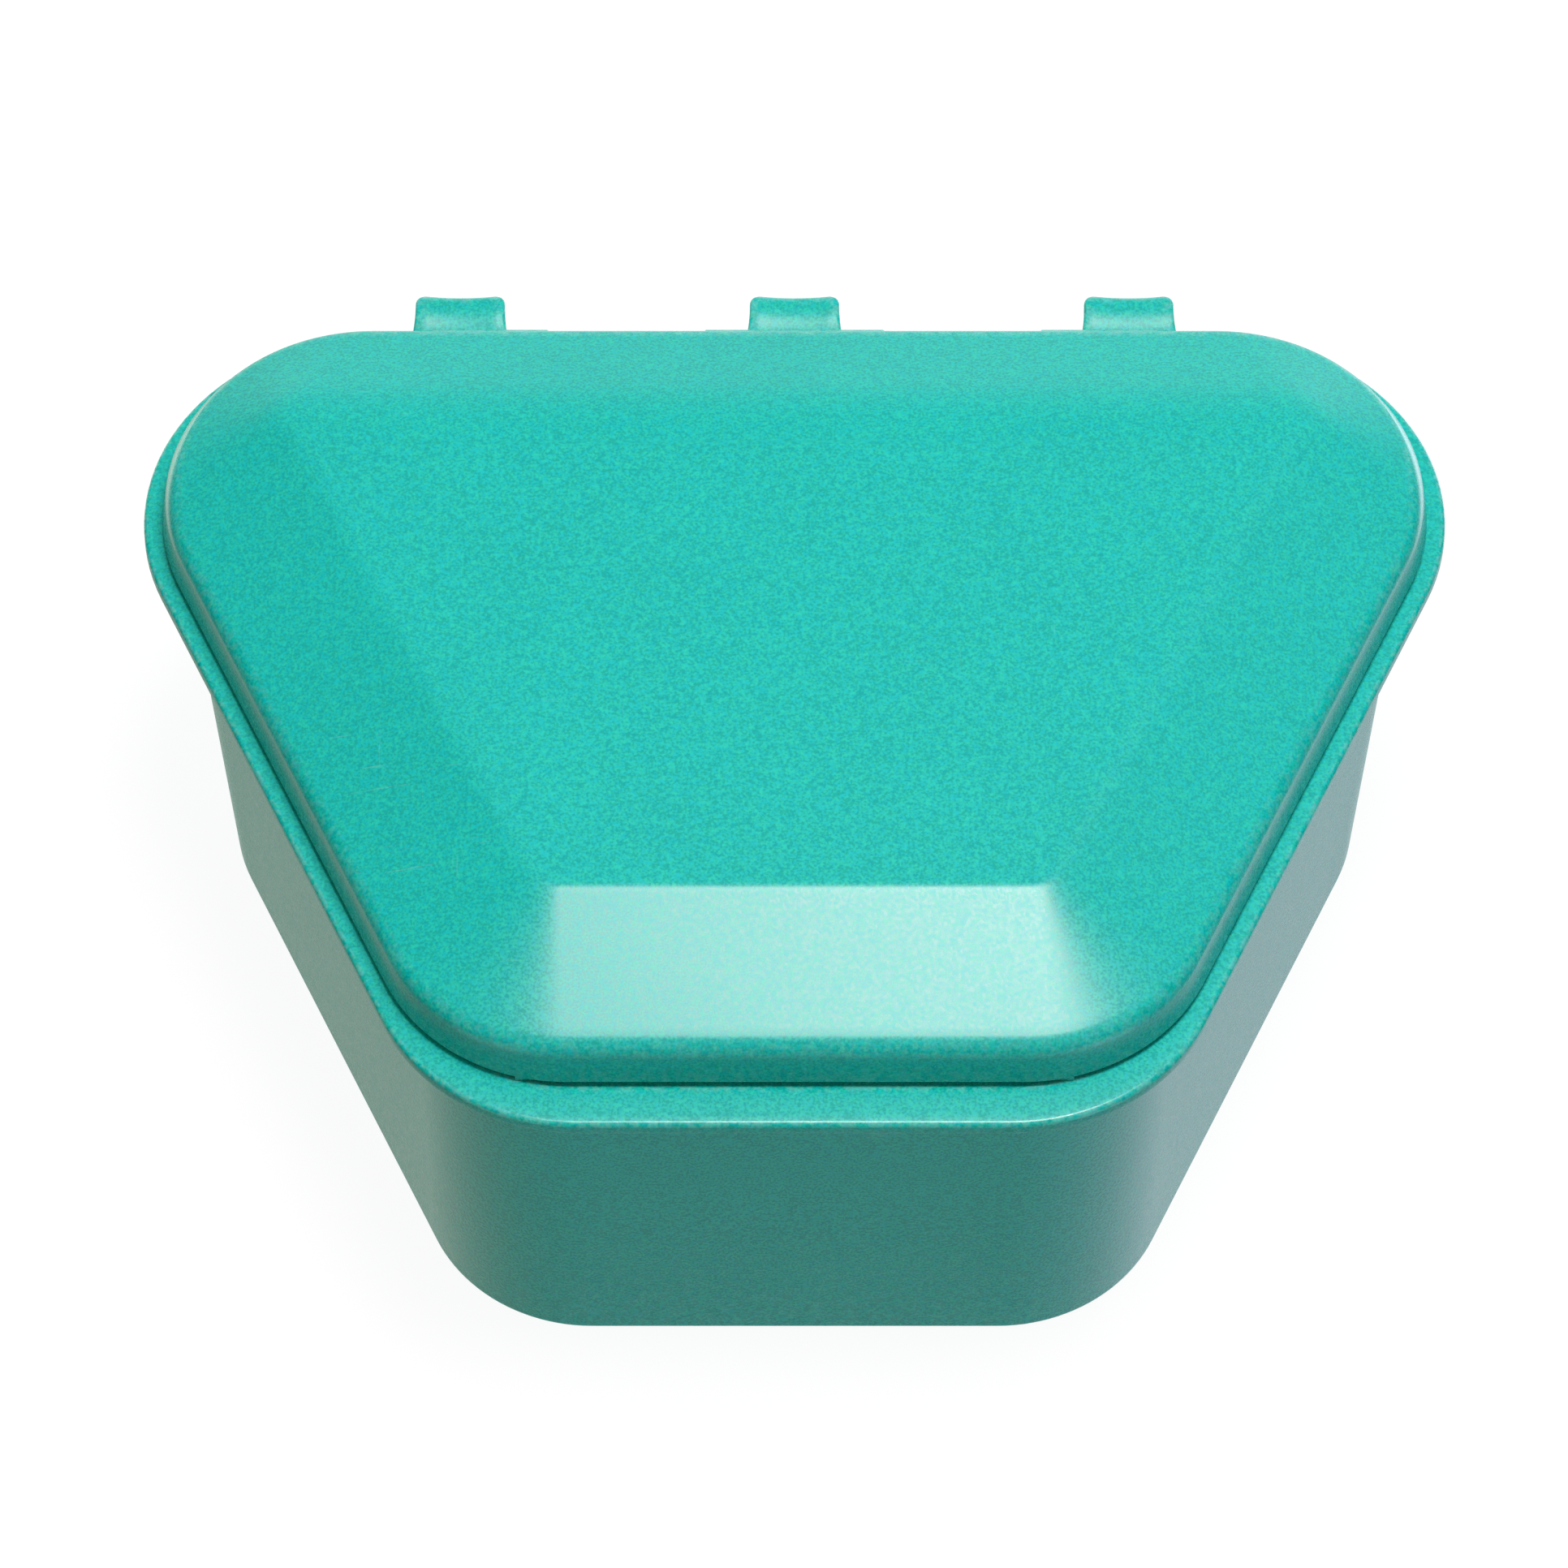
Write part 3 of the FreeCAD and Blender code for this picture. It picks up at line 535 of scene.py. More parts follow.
def teal_plastic():
    """Satin teal plastic with a fine moulded grain, slow changes of tone and light scuffs."""
    known = bpy.data.materials.get("moulded_teal")
    if known:
        return known
    finish = bpy.context.scene.hopper_plastic
    material, tree, shader, add = node_tree("moulded_teal")
    place = add("ShaderNodeTexCoord").outputs["Object"]

    fine = noise_over(add, place, finish.grain, detail=1)
    coarse = noise_over(add, place, finish.grain * 3)
    speckle = shared(add, fine, coarse, finish.coarse)
    tone = shared(add, speckle, noise_over(add, place, finish.cloud), finish.clouding)
    drift = noise_over(add, place, finish.grain * 1.7, detail=1)
    hue = blend_colours(add, remap(add, drift, 0.3, 0.7), finish.green, finish.blue)
    body = blend_colours(add, remap(add, tone, 0.3, 0.7, finish.depth, 0), hue, finish.deep)

    # scuffs: short thin lines in two directions, only in a few patches
    lines = []
    for turn, squeeze in SCUFF_LINES:
        mapping = add("ShaderNodeMapping", [("Vector", place)])
        mapping.inputs["Rotation"].default_value = (0, 0, turn)
        mapping.inputs["Scale"].default_value = squeeze
        streaks = noise_over(add, mapping.outputs["Vector"], SCUFF_SIZE, detail=3, rough=0.6)
        lines.append(remap(add, streaks, 0.66, 0.74))
    patches = remap(add, noise_over(add, place, SCUFF_PATCH, detail=1), 0.56, 0.7)
    scuffs = arithmetic(add, "MULTIPLY", arithmetic(add, "MAXIMUM", *lines), patches)
    scuffs = arithmetic(add, "MULTIPLY", scuffs, finish.scuffs)

    # convex edges: lighter and smoother, broken up by a noise; the lighter colour is partly real edge wear
    # and partly a painted highlight
    edges = add("ShaderNodeAttribute", attribute_name=WORN_AND_HIGHLIT).outputs["Fac"]
    broken = remap(add, noise_over(add, place, finish.grain * 2.5, detail=3), 0.42, 0.6)
    worn_and_highlit = arithmetic(add, "MULTIPLY", edges, broken)
    pale = [value + (1 - value) * finish.paleness for value in finish.green]
    lighter = arithmetic(add, "MAXIMUM", scuffs, arithmetic(add, "MULTIPLY", worn_and_highlit, finish.wear_and_highlight))
    tree.links.new(blend_colours(add, lighter, body, pale), shader.inputs["Base Color"])

    spread = finish.roughness_spread
    rough = remap(add, speckle, 0.3, 0.7, finish.roughness - spread, finish.roughness + spread)
    rough = arithmetic(add, "ADD", rough, arithmetic(add, "MULTIPLY", scuffs, finish.scuff_roughness))
    rough = arithmetic(add, "SUBTRACT", rough, arithmetic(add, "MULTIPLY", worn_and_highlit, finish.wear_polish))
    tree.links.new(rough, shader.inputs["Roughness"])
    add_relief(add, tree, shader, speckle, 0.35, finish.relief)
    shader.inputs["IOR"].default_value = 1.47
    return material


def zinc_wire():
    """Zinc-plated drawn wire, with fine lines along it and a little dullness."""
    finish = bpy.context.scene.hopper_wire
    material, tree, shader, add = node_tree("drawn_zinc")
    place = add("ShaderNodeTexCoord").outputs["Object"]
    mapping = add("ShaderNodeMapping", [("Vector", place)])
    mapping.inputs["Scale"].default_value = (finish.stretch, 1, 1)
    lines = noise_over(add, mapping.outputs["Vector"], finish.streak, detail=3)
    bloom = noise_over(add, place, finish.bloom, detail=3)
    dull = [value * finish.dullness for value in finish.base]
    body = blend_colours(add, remap(add, bloom, 0.35, 0.7), finish.base, dull)
    tree.links.new(body, shader.inputs["Base Color"])
    rough = remap(add, arithmetic(add, "ADD", lines, bloom), 0.7, 1.3, finish.roughness, finish.roughest)
    tree.links.new(rough, shader.inputs["Roughness"])
    add_relief(add, tree, shader, lines, 0.3, finish.relief)
    shader.inputs["Metallic"].default_value = 1
    return material


# ---------------------------------------------------------------- repeated forms

def row_tree(name):
    """Nodes that set copies of a form in groups along X, centred on the middle."""
    tree = bpy.data.node_groups.new(name, "GeometryNodeTree")
    inputs = (("Form", "NodeSocketObject"), ("Count", "NodeSocketInt"), ("Pitch", "NodeSocketFloat"),
              ("Groups", "NodeSocketInt"), ("Group Pitch", "NodeSocketFloat"),
              ("Material", "NodeSocketMaterial"))
    tree.interface.new_socket("Geometry", in_out="INPUT", socket_type="NodeSocketGeometry")
    for label, kind in inputs:
        tree.interface.new_socket(label, in_out="INPUT", socket_type=kind)
    tree.interface.new_socket("Geometry", in_out="OUTPUT", socket_type="NodeSocketGeometry")
    source = tree.nodes.new("NodeGroupInput").outputs
    add = node_adder(tree)

    def line(count, pitch):
        """A row of points along X, centred on the middle."""
        span = arithmetic(add, "MULTIPLY", arithmetic(add, "SUBTRACT", source[count], 1), source[pitch])
        first = add("ShaderNodeCombineXYZ", [("X", arithmetic(add, "MULTIPLY", span, -0.5))])
        step = add("ShaderNodeCombineXYZ", [("X", source[pitch])])
        points = add("GeometryNodeMeshLine", [("Count", source[count]), ("Offset", step.outputs[0]),
                                              ("Start Location", first.outputs[0])])
        return points.outputs["Mesh"]

    groups = add("GeometryNodeInstanceOnPoints", [("Points", line("Groups", "Group Pitch")),
                                                  ("Instance", line("Count", "Pitch"))])
    places = add("GeometryNodeRealizeInstances", [("Geometry", groups.outputs["Instances"])])
    form = add("GeometryNodeObjectInfo", [("Object", source["Form"])])
    copies = add("GeometryNodeInstanceOnPoints", [("Points", places.outputs["Geometry"]),
                                                  ("Instance", form.outputs["Geometry"])])
    solid = add("GeometryNodeRealizeInstances", [("Geometry", copies.outputs["Instances"])])
    finish = add("GeometryNodeSetMaterial", [("Geometry", solid.outputs["Geometry"]),
                                             ("Material", source["Material"])])
    add("NodeGroupOutput", [("Geometry", finish.outputs["Geometry"])])
    return tree


def repeat_form(name, form, count, pitch, groups=1, group_pitch=0.0):
    """Repeat a form along X with the row nodes, as one plain mesh."""
    tree = bpy.data.node_groups.get("row_of_forms") or row_tree("row_of_forms")
    carrier = bpy.data.objects.new(name + "_carrier", bpy.data.meshes.new(name + "_carrier"))
    bpy.context.scene.collection.objects.link(carrier)
    modifier = carrier.modifiers.new("row", "NODES")
    modifier.node_group = tree
    values = {"Form": form, "Count": count, "Pitch": pitch, "Groups": groups,
              "Group Pitch": group_pitch, "Material": teal_plastic()}
    for socket in tree.interface.items_tree:
        if socket.in_out == "INPUT" and socket.name in values:
            modifier[socket.identifier] = values[socket.name]
    bpy.context.view_layer.update()
    graph = bpy.context.evaluated_depsgraph_get()
    data = bpy.data.meshes.new_from_object(carrier.evaluated_get(graph))
    data.name = name
    piece = bpy.data.objects.new(name, data)
    bpy.context.scene.collection.objects.link(piece)
    for spare in (carrier, form):
        bpy.data.objects.remove(spare)
    return piece


# ---------------------------------------------------------------- trough

def wall_ring(trough, level, inward):
    """A ring on the trough's wall at a height, moved inward from the outer face."""
    low = 1 - level / trough.rim_height
    near = trough.rim_reach + inward
    insets = (near + trough.draft * low, near + trough.draft * low, near + trough.rear_lean * low)
    radii = (trough.front_radius - near, trough.rear_radius - near - trough.corner_ease * low)
    return ring(trough, insets, radii, level, trough.panel_half)


def rim_ring(trough, inset, level):
    """A ring on the rim, the same distance inside its outer edge all round."""
    radii = (trough.front_radius - inset, trough.rear_radius - inset)
    return ring(trough, (inset,) * 3, radii, level, trough.panel_half)


def trough_rings(trough):
    """The trough's rings from under the foot, over the rim and down to the floor inside.

    Returned with the numbers of the bands that hold the window, outside and inside.
    """
    top = trough.rim_height
    under = top - trough.rim_thick
    rings = [wall_ring(trough, up, inward) for inward, up in quarter(trough.base_round)]
    outer_band = len(rings) - 1
    for inward, up in quarter(trough.rim_fillet):
        rings.append(rim_ring(trough, trough.rim_reach - up, under - inward))
    for inward, up in quarter(trough.rim_under):
        rings.append(rim_ring(trough, inward, under + up))
    mouth = trough.rim_reach + trough.wall
    for inward, up in reversed(quarter(trough.rim_round)):
        rings.append(rim_ring(trough, inward, top - trough.rim_crown - up))
    width = mouth - trough.mouth_round - trough.rim_round
    for k in range(1, CROWN_STEPS):
        part = 1 - k / CROWN_STEPS
        inset = trough.rim_round + width * (1 - part)
        rings.append(rim_ring(trough, inset, top - trough.rim_crown * part ** 2))
    for inward, up in quarter(trough.mouth_round):
        rings.append(rim_ring(trough, mouth - up, top - inward))
    inner_band = len(rings) - 1
    for inward, up in reversed(quarter(trough.floor_fillet)):
        rings.append(wall_ring(trough, trough.floor + up, trough.wall + inward))
    return rings, outer_band, inner_band


def window_loop(mesh, trough, widen, depth):
    """The window's outline in the leaning rear wall, at a depth from its outer face."""
    middle = (trough.window_sill + trough.window_head) / 2
    half_high = (trough.window_head - trough.window_sill) / 2
    radius = trough.window_radius
    x = trough.window_half - radius
    z = half_high - radius
    loop = []
    for quadrant, (across, up) in enumerate(((1, 1), (-1, 1), (-1, -1), (1, -1))):
        start = quadrant * math.pi / 2
        loop += arc((across * x, middle + up * z), radius + widen, start, start + math.pi / 2,
                    CORNER_STEPS)
    rear = rim_middle(trough) + trough.rim_depth / 2 - trough.rim_reach
    lean = trough.rear_lean / trough.rim_height
    return [mesh.verts.new((across, rear - (trough.rim_height - up) * lean - depth, up))
            for across, up in loop]


def frame_window(mesh, corners, loop):
    """Faces between a panel's four corners and the window's outline.

    The corners run from the upper right round over the upper left, like the outline.
    """
    steps = len(loop) // 4
    for quadrant, corner in enumerate(corners):
        first = quadrant * steps
        for k in range(first, first + steps - 1):
            mesh.faces.new((corner, loop[k], loop[k + 1]))
        after = (first + steps) % len(loop)
        mesh.faces.new((corner, loop[first + steps - 1], loop[after], corners[(quadrant + 1) % 4]))


def cut_window(mesh, trough, rings, outer_band, inner_band):
    """Both faces of the rear panel and the rounded edge of the window between them."""
    loops = []
    for depth, widen in reversed(quarter(trough.window_round)):
        loops.append(window_loop(mesh, trough, widen, depth))
    for depth, widen in quarter(trough.window_round):
        loops.append(window_loop(mesh, trough, widen, trough.wall - depth))
    for first, second in zip(loops, loops[1:]):
        bridge(mesh, first, second)
    right = len(rings[0]) // 2 - 1
    low, high = rings[outer_band], rings[outer_band + 1]
    frame_window(mesh, (high[right], high[right + 1], low[right + 1], low[right]), loops[0])
    high, low = rings[inner_band], rings[inner_band + 1]
    frame_window(mesh, (high[right], high[right + 1], low[right + 1], low[right]), loops[-1])


def baffle_rails(mesh, trough):
    """Two pairs of upright rails that the baffle slides between."""
    half_gap = (BAFFLE_HIGH.y - BAFFLE_LOW.y) / 2 + trough.rail_play
    middle = (BAFFLE_HIGH.y + BAFFLE_LOW.y) / 2
    tilt = trough.flank
    reach = trough.front_half * math.cos(tilt) + trough.rim_depth / 2 * math.sin(tilt)
    wall_x = (reach - trough.rim_reach - trough.wall) / math.cos(tilt)
    bite = trough.wall / 2
    low = trough.floor - trough.wall / 2
    rise = Vector((0, 0, trough.rim_height - trough.rail_drop - low))
    for side in (1, -1):
        for near in (half_gap, -half_gap - trough.rail_thick):
            outline = []
            for depth, along in ((-trough.rail_depth, near), (bite, near),
                                 (bite, near + trough.rail_thick),
                                 (-trough.rail_depth, near + trough.rail_thick)):
                y = middle + along
                x = wall_x + (y - rim_middle(trough)) * math.tan(tilt) + depth
                outline.append(Vector((side * x, y, low)))
            prism(mesh, outline, rise, trough.rim_under)


def build_trough():
    """The trough's shell: floor, walls, window, rim and the baffle's rails."""
    trough = bpy.context.scene.hopper_trough
    mesh = bmesh.new()
    places, outer_band, inner_band = trough_rings(trough)
    rings = [[mesh.verts.new(point) for point in points] for points in places]
    panel = len(rings[0]) // 2 - 1
    for k, (lower, upper) in enumerate(zip(rings, rings[1:])):
        open_panel = k in (outer_band, inner_band)
        bridge(mesh, lower, upper, lambda place: not (open_panel and place == panel))
    close_level(mesh, rings[0])
    close_level(mesh, rings[-1])
    cut_window(mesh, trough, rings, outer_band, inner_band)
    baffle_rails(mesh, trough)
    piece = new_piece("trough_shell", mesh, teal_plastic())
    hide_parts("trough")
    return piece


def rib_form():
    """A cage rib at the middle, from the leaning rear wall out to the rim's rear edge."""
    trough = bpy.context.scene.hopper_trough
    rear = TROUGH_LOW.y + trough.rim_depth
    top = trough.rim_height - trough.rim_thick / 2
    bite = trough.rim_reach + trough.wall / 2
    lean = trough.rear_lean / trough.rim_height
    points = [(rear, trough.rib_start), (rear, top), (rear - bite, top),
              (rear - bite - (trough.rim_height - trough.floor) * lean, trough.floor)]
    mesh = bmesh.new()
    outline = [Vector((-trough.rib_thick / 2, y, z)) for y, z in points]
    prism(mesh, outline, Vector((trough.rib_thick, 0, 0)), trough.rim_under)
    return new_piece("rib_form", mesh, teal_plastic())


# ---------------------------------------------------------------- hooks

def hook_stations(hooks, trough):
    """Stations along a hook: upper point, lower point and half width, from root to tip."""
    rear = TROUGH_LOW.y + trough.rim_depth
    rim = trough.rim_height
    crest = rim + hooks.crest
    throat = crest - hooks.thick
    end = rear + hooks.reach
    leg = end - hooks.thick
    half = hooks.width / 2
    root = rear - hooks.root
    under = rim - trough.rim_thick
    stations = [((root, rim - hooks.edge), (root, under + hooks.root_rise), half + hooks.flare)]
    for k in range(CORNER_STEPS + 1):
        part = k / CORNER_STEPS
        rise = hooks.crest * (3 * part ** 2 - 2 * part ** 3)
        flare = hooks.flare * (1 - part) ** 2
        low = throat - (throat - under) * hooks.gusset * (1 - part) ** 3
        y = rear - hooks.lead + (hooks.ramp + hooks.lead) * part
        stations.append(((y, rim + rise), (y, low), half + flare))
    outer = arc((end - hooks.bend, crest - hooks.bend), hooks.bend, math.pi / 2, 0, BEND_STEPS)
    inner = arc((leg - hooks.throat, throat - hooks.throat), hooks.throat, math.pi / 2, 0, BEND_STEPS)
    for k, (high, low) in enumerate(zip(outer, inner)):
        turn = math.pi / 2 * k / BEND_STEPS
        stations.append((high, low, half - hooks.shoulder * (1 - math.cos(turn))))
    tip = crest - hooks.drop
    for part in LEG_PARTS:
        z = crest - hooks.bend + (tip - crest + hooks.bend) * part
        stations.append(((end, z), (leg, z), half - hooks.shoulder))
    for part in TIP_PARTS:
        draw = hooks.thick / 2 * (1 - math.sqrt(max(0, 1 - part ** 2)))
        z = tip + hooks.thick / 2 * (1 - part)
        through, across = draw * hooks.tip_round, draw * hooks.tip_narrow
        stations.append(((end - through, z), (leg + through, z), half - hooks.shoulder - across))
    return stations


def hook_section(mesh, hooks, high, low, half):
    """One closed section of a hook, dished on its outer face, with rounded sides."""
    high, low = Vector(high), Vector(low)
    through = (high - low).length
    edge = min(hooks.edge, through * EDGE_SHARE, half * EDGE_SHARE)
    across = (high - low) / through
    loop = []
    for k in range(CORNER_STEPS + 1):
        u = 1 - 2 * k / CORNER_STEPS
        loop.append((u * (half - edge), through - hooks.dish * (1 - u * u) * min(1, through / hooks.thick)))
    loop += arc((edge - half, through - edge), edge, math.pi / 2, math.pi, EDGE_STEPS)[1:]
    loop += arc((edge - half, edge), edge, math.pi, 1.5 * math.pi, EDGE_STEPS)[:-1]
    for k in range(CORNER_STEPS + 1):
        u = 2 * k / CORNER_STEPS - 1
        loop.append((u * (half - edge), 0))
    loop += arc((half - edge, edge), edge, 1.5 * math.pi, 2 * math.pi, EDGE_STEPS)[1:]
    loop += arc((half - edge, through - edge), edge, 0, math.pi / 2, EDGE_STEPS)[:-1]
    verts = []
    for x, out in loop:
        point = low + across * out
        verts.append(mesh.verts.new((x, point.x, point.y)))
    return verts


def hook_form():
    """A wire hook at the middle, lofted through its stations."""
    scene = bpy.context.scene
    hooks = scene.hopper_hooks
    mesh = bmesh.new()
    rings = [hook_section(mesh, hooks, *station) for station in hook_stations(hooks, scene.hopper_trough)]
    for lower, upper in zip(rings, rings[1:]):
        bridge(mesh, lower, upper)
    mesh.faces.new(rings[0])
    mesh.faces.new(rings[-1])
    return new_piece("hook_form", mesh, teal_plastic(), flat_angle=50)


# ---------------------------------------------------------------- hinge

def hinge_axis():
    """Y and Z of the hinge rod's axis."""
    middle = (ROD_LOW + ROD_HIGH) / 2
    return middle.y, middle.z


def lug_form():
    """A lug at the middle: a barrel on a block that widens into the rim."""
    scene = bpy.context.scene
    hinge = scene.hopper_hinge
    trough = scene.hopper_trough
    y, z = hinge_axis()
    half = [(hinge.barrel + hinge.flare, trough.rim_height - trough.rim_thick / 2)]
    half += [(hinge.barrel + hinge.flare * out, trough.rim_height + hinge.flare * up)
             for out, up in FLARE_CURVE]
    points = [(y + out, up) for out, up in half]
    points += arc((y, z), hinge.barrel, 0, math.pi, LUG_STEPS)
    points += [(y - out, up) for out, up in reversed(half)]
    mesh = bmesh.new()
    outline = [Vector((-hinge.lug_width / 2, across, up)) for across, up in points]
    prism(mesh, outline, Vector((hinge.lug_width, 0, 0)), hinge.edge)
    return new_piece("lug_form", mesh, teal_plastic())


def knuckle_form():
    """A knuckle at the middle: a barrel with a web up to the lid."""
    scene = bpy.context.scene
    hinge = scene.hopper_hinge
    y, z = hinge_axis()
    top = scene.hopper_trough.rim_height + scene.hopper_lid.skirt - hinge.web_drop
    rear_web = hinge.web - hinge.barrel
    start = math.acos(rear_web / hinge.barrel)
    points = arc((y, z), hinge.barrel, start, -math.pi, BARREL_STEPS)
    points += [(y - hinge.barrel, top), (y + rear_web, top)]
    mesh = bmesh.new()
    outline = [Vector((-hinge.knuckle_width / 2, across, up)) for across, up in points]
    prism(mesh, outline, Vector((hinge.knuckle_width, 0, 0)), hinge.edge)
    return new_piece("knuckle_form", mesh, teal_plastic())


# ---------------------------------------------------------------- lid

def lid_ring(trough, lid, insets, inward, level, part=0.0):
    """A ring on the lid. part runs from 0 at the shoulder to 1 at the plateau's corners."""
    wide_front = trough.front_radius - lid.side_inset - inward
    wide_rear = trough.rear_radius - lid.side_inset - inward
    corners = ((wide_front, lid.plateau_front_radius), (wide_rear, lid.plateau_radius))
    radii = [max(wide + (narrow - wide) * part, narrow / 2) for wide, narrow in corners]
    return ring(trough, insets, radii, level, lid.slot_half)


def skirt_insets(lid, inward):
    """Insets of the skirt's three kinds of side, with a further distance inward."""
    return [inset + inward for inset in (lid.front_inset, lid.side_inset, lid.rear_inset)]


def slope_run(run, rise, crease, below):
    """How far in a slope has come at a height below the plateau, with its crease rounded."""
    steepness = rise / run
    if below > steepness * crease:
        return run - below / steepness
    return run + crease - math.sqrt(4 * crease * below / steepness)


def crown_rings(trough, lid, start, rise):
    """Rings up the slopes to the plateau, from a height below it."""
    runs = (lid.front_run, lid.side_run, lid.rear_run)
    creases = (lid.front_crease, lid.side_crease, lid.rear_crease)
    softest = rise / lid.rear_run * lid.rear_crease
    levels = [start, start * SLOPE_MIDDLE]
    levels += [softest * (1 - k / CREASE_STEPS) ** 2 for k in range(CREASE_STEPS + 1)]
    top = trough.rim_height + lid.crown
    rings = []
    for below in levels:
        moved = [slope_run(run, rise, crease, below) for run, crease in zip(runs, creases)]
        insets = [a + b for a, b in zip(skirt_insets(lid, lid.skirt_draft), moved)]
        rings.append(lid_ring(trough, lid, insets, lid.skirt_draft, top - below, moved[1] / lid.side_run))
    return rings


def shoulder_rings(trough, lid, rise):
    """Rings round the shoulder, a curve between the skirt and the slopes.

    All its rings are level, so the softer rear shoulder only moves further in.
    """
    runs = (lid.front_run, lid.side_run, lid.rear_run)
    corner = trough.rim_height + lid.skirt
    cut = lid.shoulder
    softness = (0, 0, (lid.rear_shoulder - cut) * REAR_EASE)
    rings = []
    for k in range(CORNER_STEPS + 1):
        t = k / CORNER_STEPS
        skirt_part = (1 - t) ** 2
        slope_part = t ** 2
        up = corner - cut * skirt_part + slope_part * cut * rise / lid.side_run
        lean = lid.skirt_draft * (1 - skirt_part * cut / lid.skirt)
        moved = [slope_part * cut * run / lid.side_run + 2 * t * (1 - t) * extra
                 for run, extra in zip(runs, softness)]
        insets = [a + b for a, b in zip(skirt_insets(lid, lean), moved)]
        rings.append(lid_ring(trough, lid, insets, lean, up, moved[1] / lid.side_run))
    return rings


def lid_rings(trough, lid):
    """The lid's outer rings from foot to plateau, its inner ones, and the slot's levels."""
    rim = trough.rim_height
    foot = rim + lid.gap
    rise = lid.crown - lid.skirt
    fall = lid.skirt_draft / lid.skirt
    slot = lid.slot_rise
    outer = []
    for inward, up in quarter(lid.foot_cove):
        outer.append(lid_ring(trough, lid, skirt_insets(lid, inward), inward, foot + up))
    outer.append(lid_ring(trough, lid, skirt_insets(lid, slot * fall), slot * fall, rim + slot))
    outer_slot = len(outer) - 1
    outer += shoulder_rings(trough, lid, rise)
    start = rise * (1 - lid.shoulder / lid.side_run)
    outer += crown_rings(trough, lid, start * SLOPE_START, rise)

    inner = []
    under = rim + lid.skirt - lid.shoulder_inside
    for inward, up in quarter(lid.foot_round):
        inset = lid.wall - inward
        inner.append(lid_ring(trough, lid, skirt_insets(lid, inset), inset, foot + up))
    inset = lid.wall + slot * fall
    inner.append(lid_ring(trough, lid, skirt_insets(lid, inset), inset, rim + slot))
    inner_slot = len(inner) - 1
    inset = lid.wall + lid.skirt_draft
    inner.append(lid_ring(trough, lid, skirt_insets(lid, inset), inset, under))
    top = rim + lid.crown - lid.wall
    for k in range(1, CROWN_STEPS + 1):
        part = k / CROWN_STEPS
        moved = [(run - lid.wall) * part for run in (lid.front_run, lid.side_run, lid.rear_run)]
        insets = [a + b for a, b in zip(skirt_insets(lid, inset), moved)]
        inner.append(lid_ring(trough, lid, insets, inset, under + (top - under) * part, part))
    return outer, outer_slot, inner, inner_slot


def lid_details(mesh, trough, lid):
    """The rain rib behind the hinge slot and the two rest pads under the front skirt."""
    rim = trough.rim_height
    rear = TROUGH_LOW.y + trough.rim_depth
    half = lid.slot_half + lid.wall
    near, far = rear - lid.rain_rib_inset - lid.rain_rib_thick, rear - lid.rain_rib_inset
    low, high = rim + lid.gap, rim + lid.rain_rib_rise
    outline = [Vector((-half, y, z)) for y, z in ((near, low), (far, low), (far, high), (near, high))]
    prism(mesh, outline, Vector((2 * half, 0, 0)), lid.foot_round)
    near = TROUGH_LOW.y + lid.front_inset + lid.pad_back
    far = near + lid.pad_depth
    low, high = rim + lid.pad_play, rim + lid.gap + lid.pad_rise
    for side in (-1, 1):
        start = side * lid.pad_place - lid.pad_length / 2
        outline = [Vector((start, y, z)) for y, z in ((near, low), (far, low), (far, high), (near, high))]
        prism(mesh, outline, Vector((lid.pad_length, 0, 0)), lid.pad_edge)


def build_lid():
    """The lid's shell: skirt with the hinge slot, shoulder, slopes, plateau and hollow."""
    scene = bpy.context.scene
    trough, lid = scene.hopper_trough, scene.hopper_lid
    mesh = bmesh.new()
    outer_places, outer_slot, inner_places, inner_slot = lid_rings(trough, lid)
    outer = [[mesh.verts.new(point) for point in points] for points in outer_places]
    inner = [[mesh.verts.new(point) for point in points] for points in inner_places]
    panel = len(outer[0]) // 2 - 1
    for rings, slot in ((outer, outer_slot), (inner, inner_slot)):
        for k, (lower, upper) in enumerate(zip(rings, rings[1:])):
            bridge(mesh, lower, upper, lambda place: k >= slot or place != panel)
        close_level(mesh, rings[-1])
    bridge(mesh, outer[0], inner[0], lambda place: place != panel)
    for side in (panel, panel + 1):
        column = [loop[side] for loop in outer[:outer_slot + 1]]
        column += [loop[side] for loop in reversed(inner[:inner_slot + 1])]
        mesh.faces.new(column)
    mesh.faces.new((outer[outer_slot][panel], outer[outer_slot][panel + 1],
                    inner[inner_slot][panel + 1], inner[inner_slot][panel]))
    lid_details(mesh, trough, lid)
    piece = new_piece("lid_shell", mesh, teal_plastic())
    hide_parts("lid")
    return piece


# ---------------------------------------------------------------- baffle

def build_baffle():
    """The baffle: a plate on two legs, open at the bottom for the feed."""
    baffle = bpy.context.scene.hopper_baffle
    low, high = BAFFLE_LOW, BAFFLE_HIGH
    top_half = high.x
    foot_half = top_half - baffle.draft
    gap_top = low.z + baffle.gap
    leg_half = foot_half - baffle.leg
    points = [(foot_half, low.z), (top_half, high.z), (-top_half, high.z), (-foot_half, low.z),
              (-leg_half, low.z)]
    radius = baffle.corner
    points += arc((radius - leg_half, gap_top - radius), radius, math.pi, math.pi / 2, CORNER_STEPS)
    points += arc((leg_half - radius, gap_top - radius), radius, math.pi / 2, 0, CORNER_STEPS)
    points.append((leg_half, low.z))
    mesh = bmesh.new()
    outline = [Vector((x, low.y, z)) for x, z in points]
    prism(mesh, outline, Vector((0, high.y - low.y, 0)), baffle.edge)
    piece = new_piece("baffle_plate", mesh, teal_plastic())
    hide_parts("feed_baffle")
    return piece


# ---------------------------------------------------------------- studio

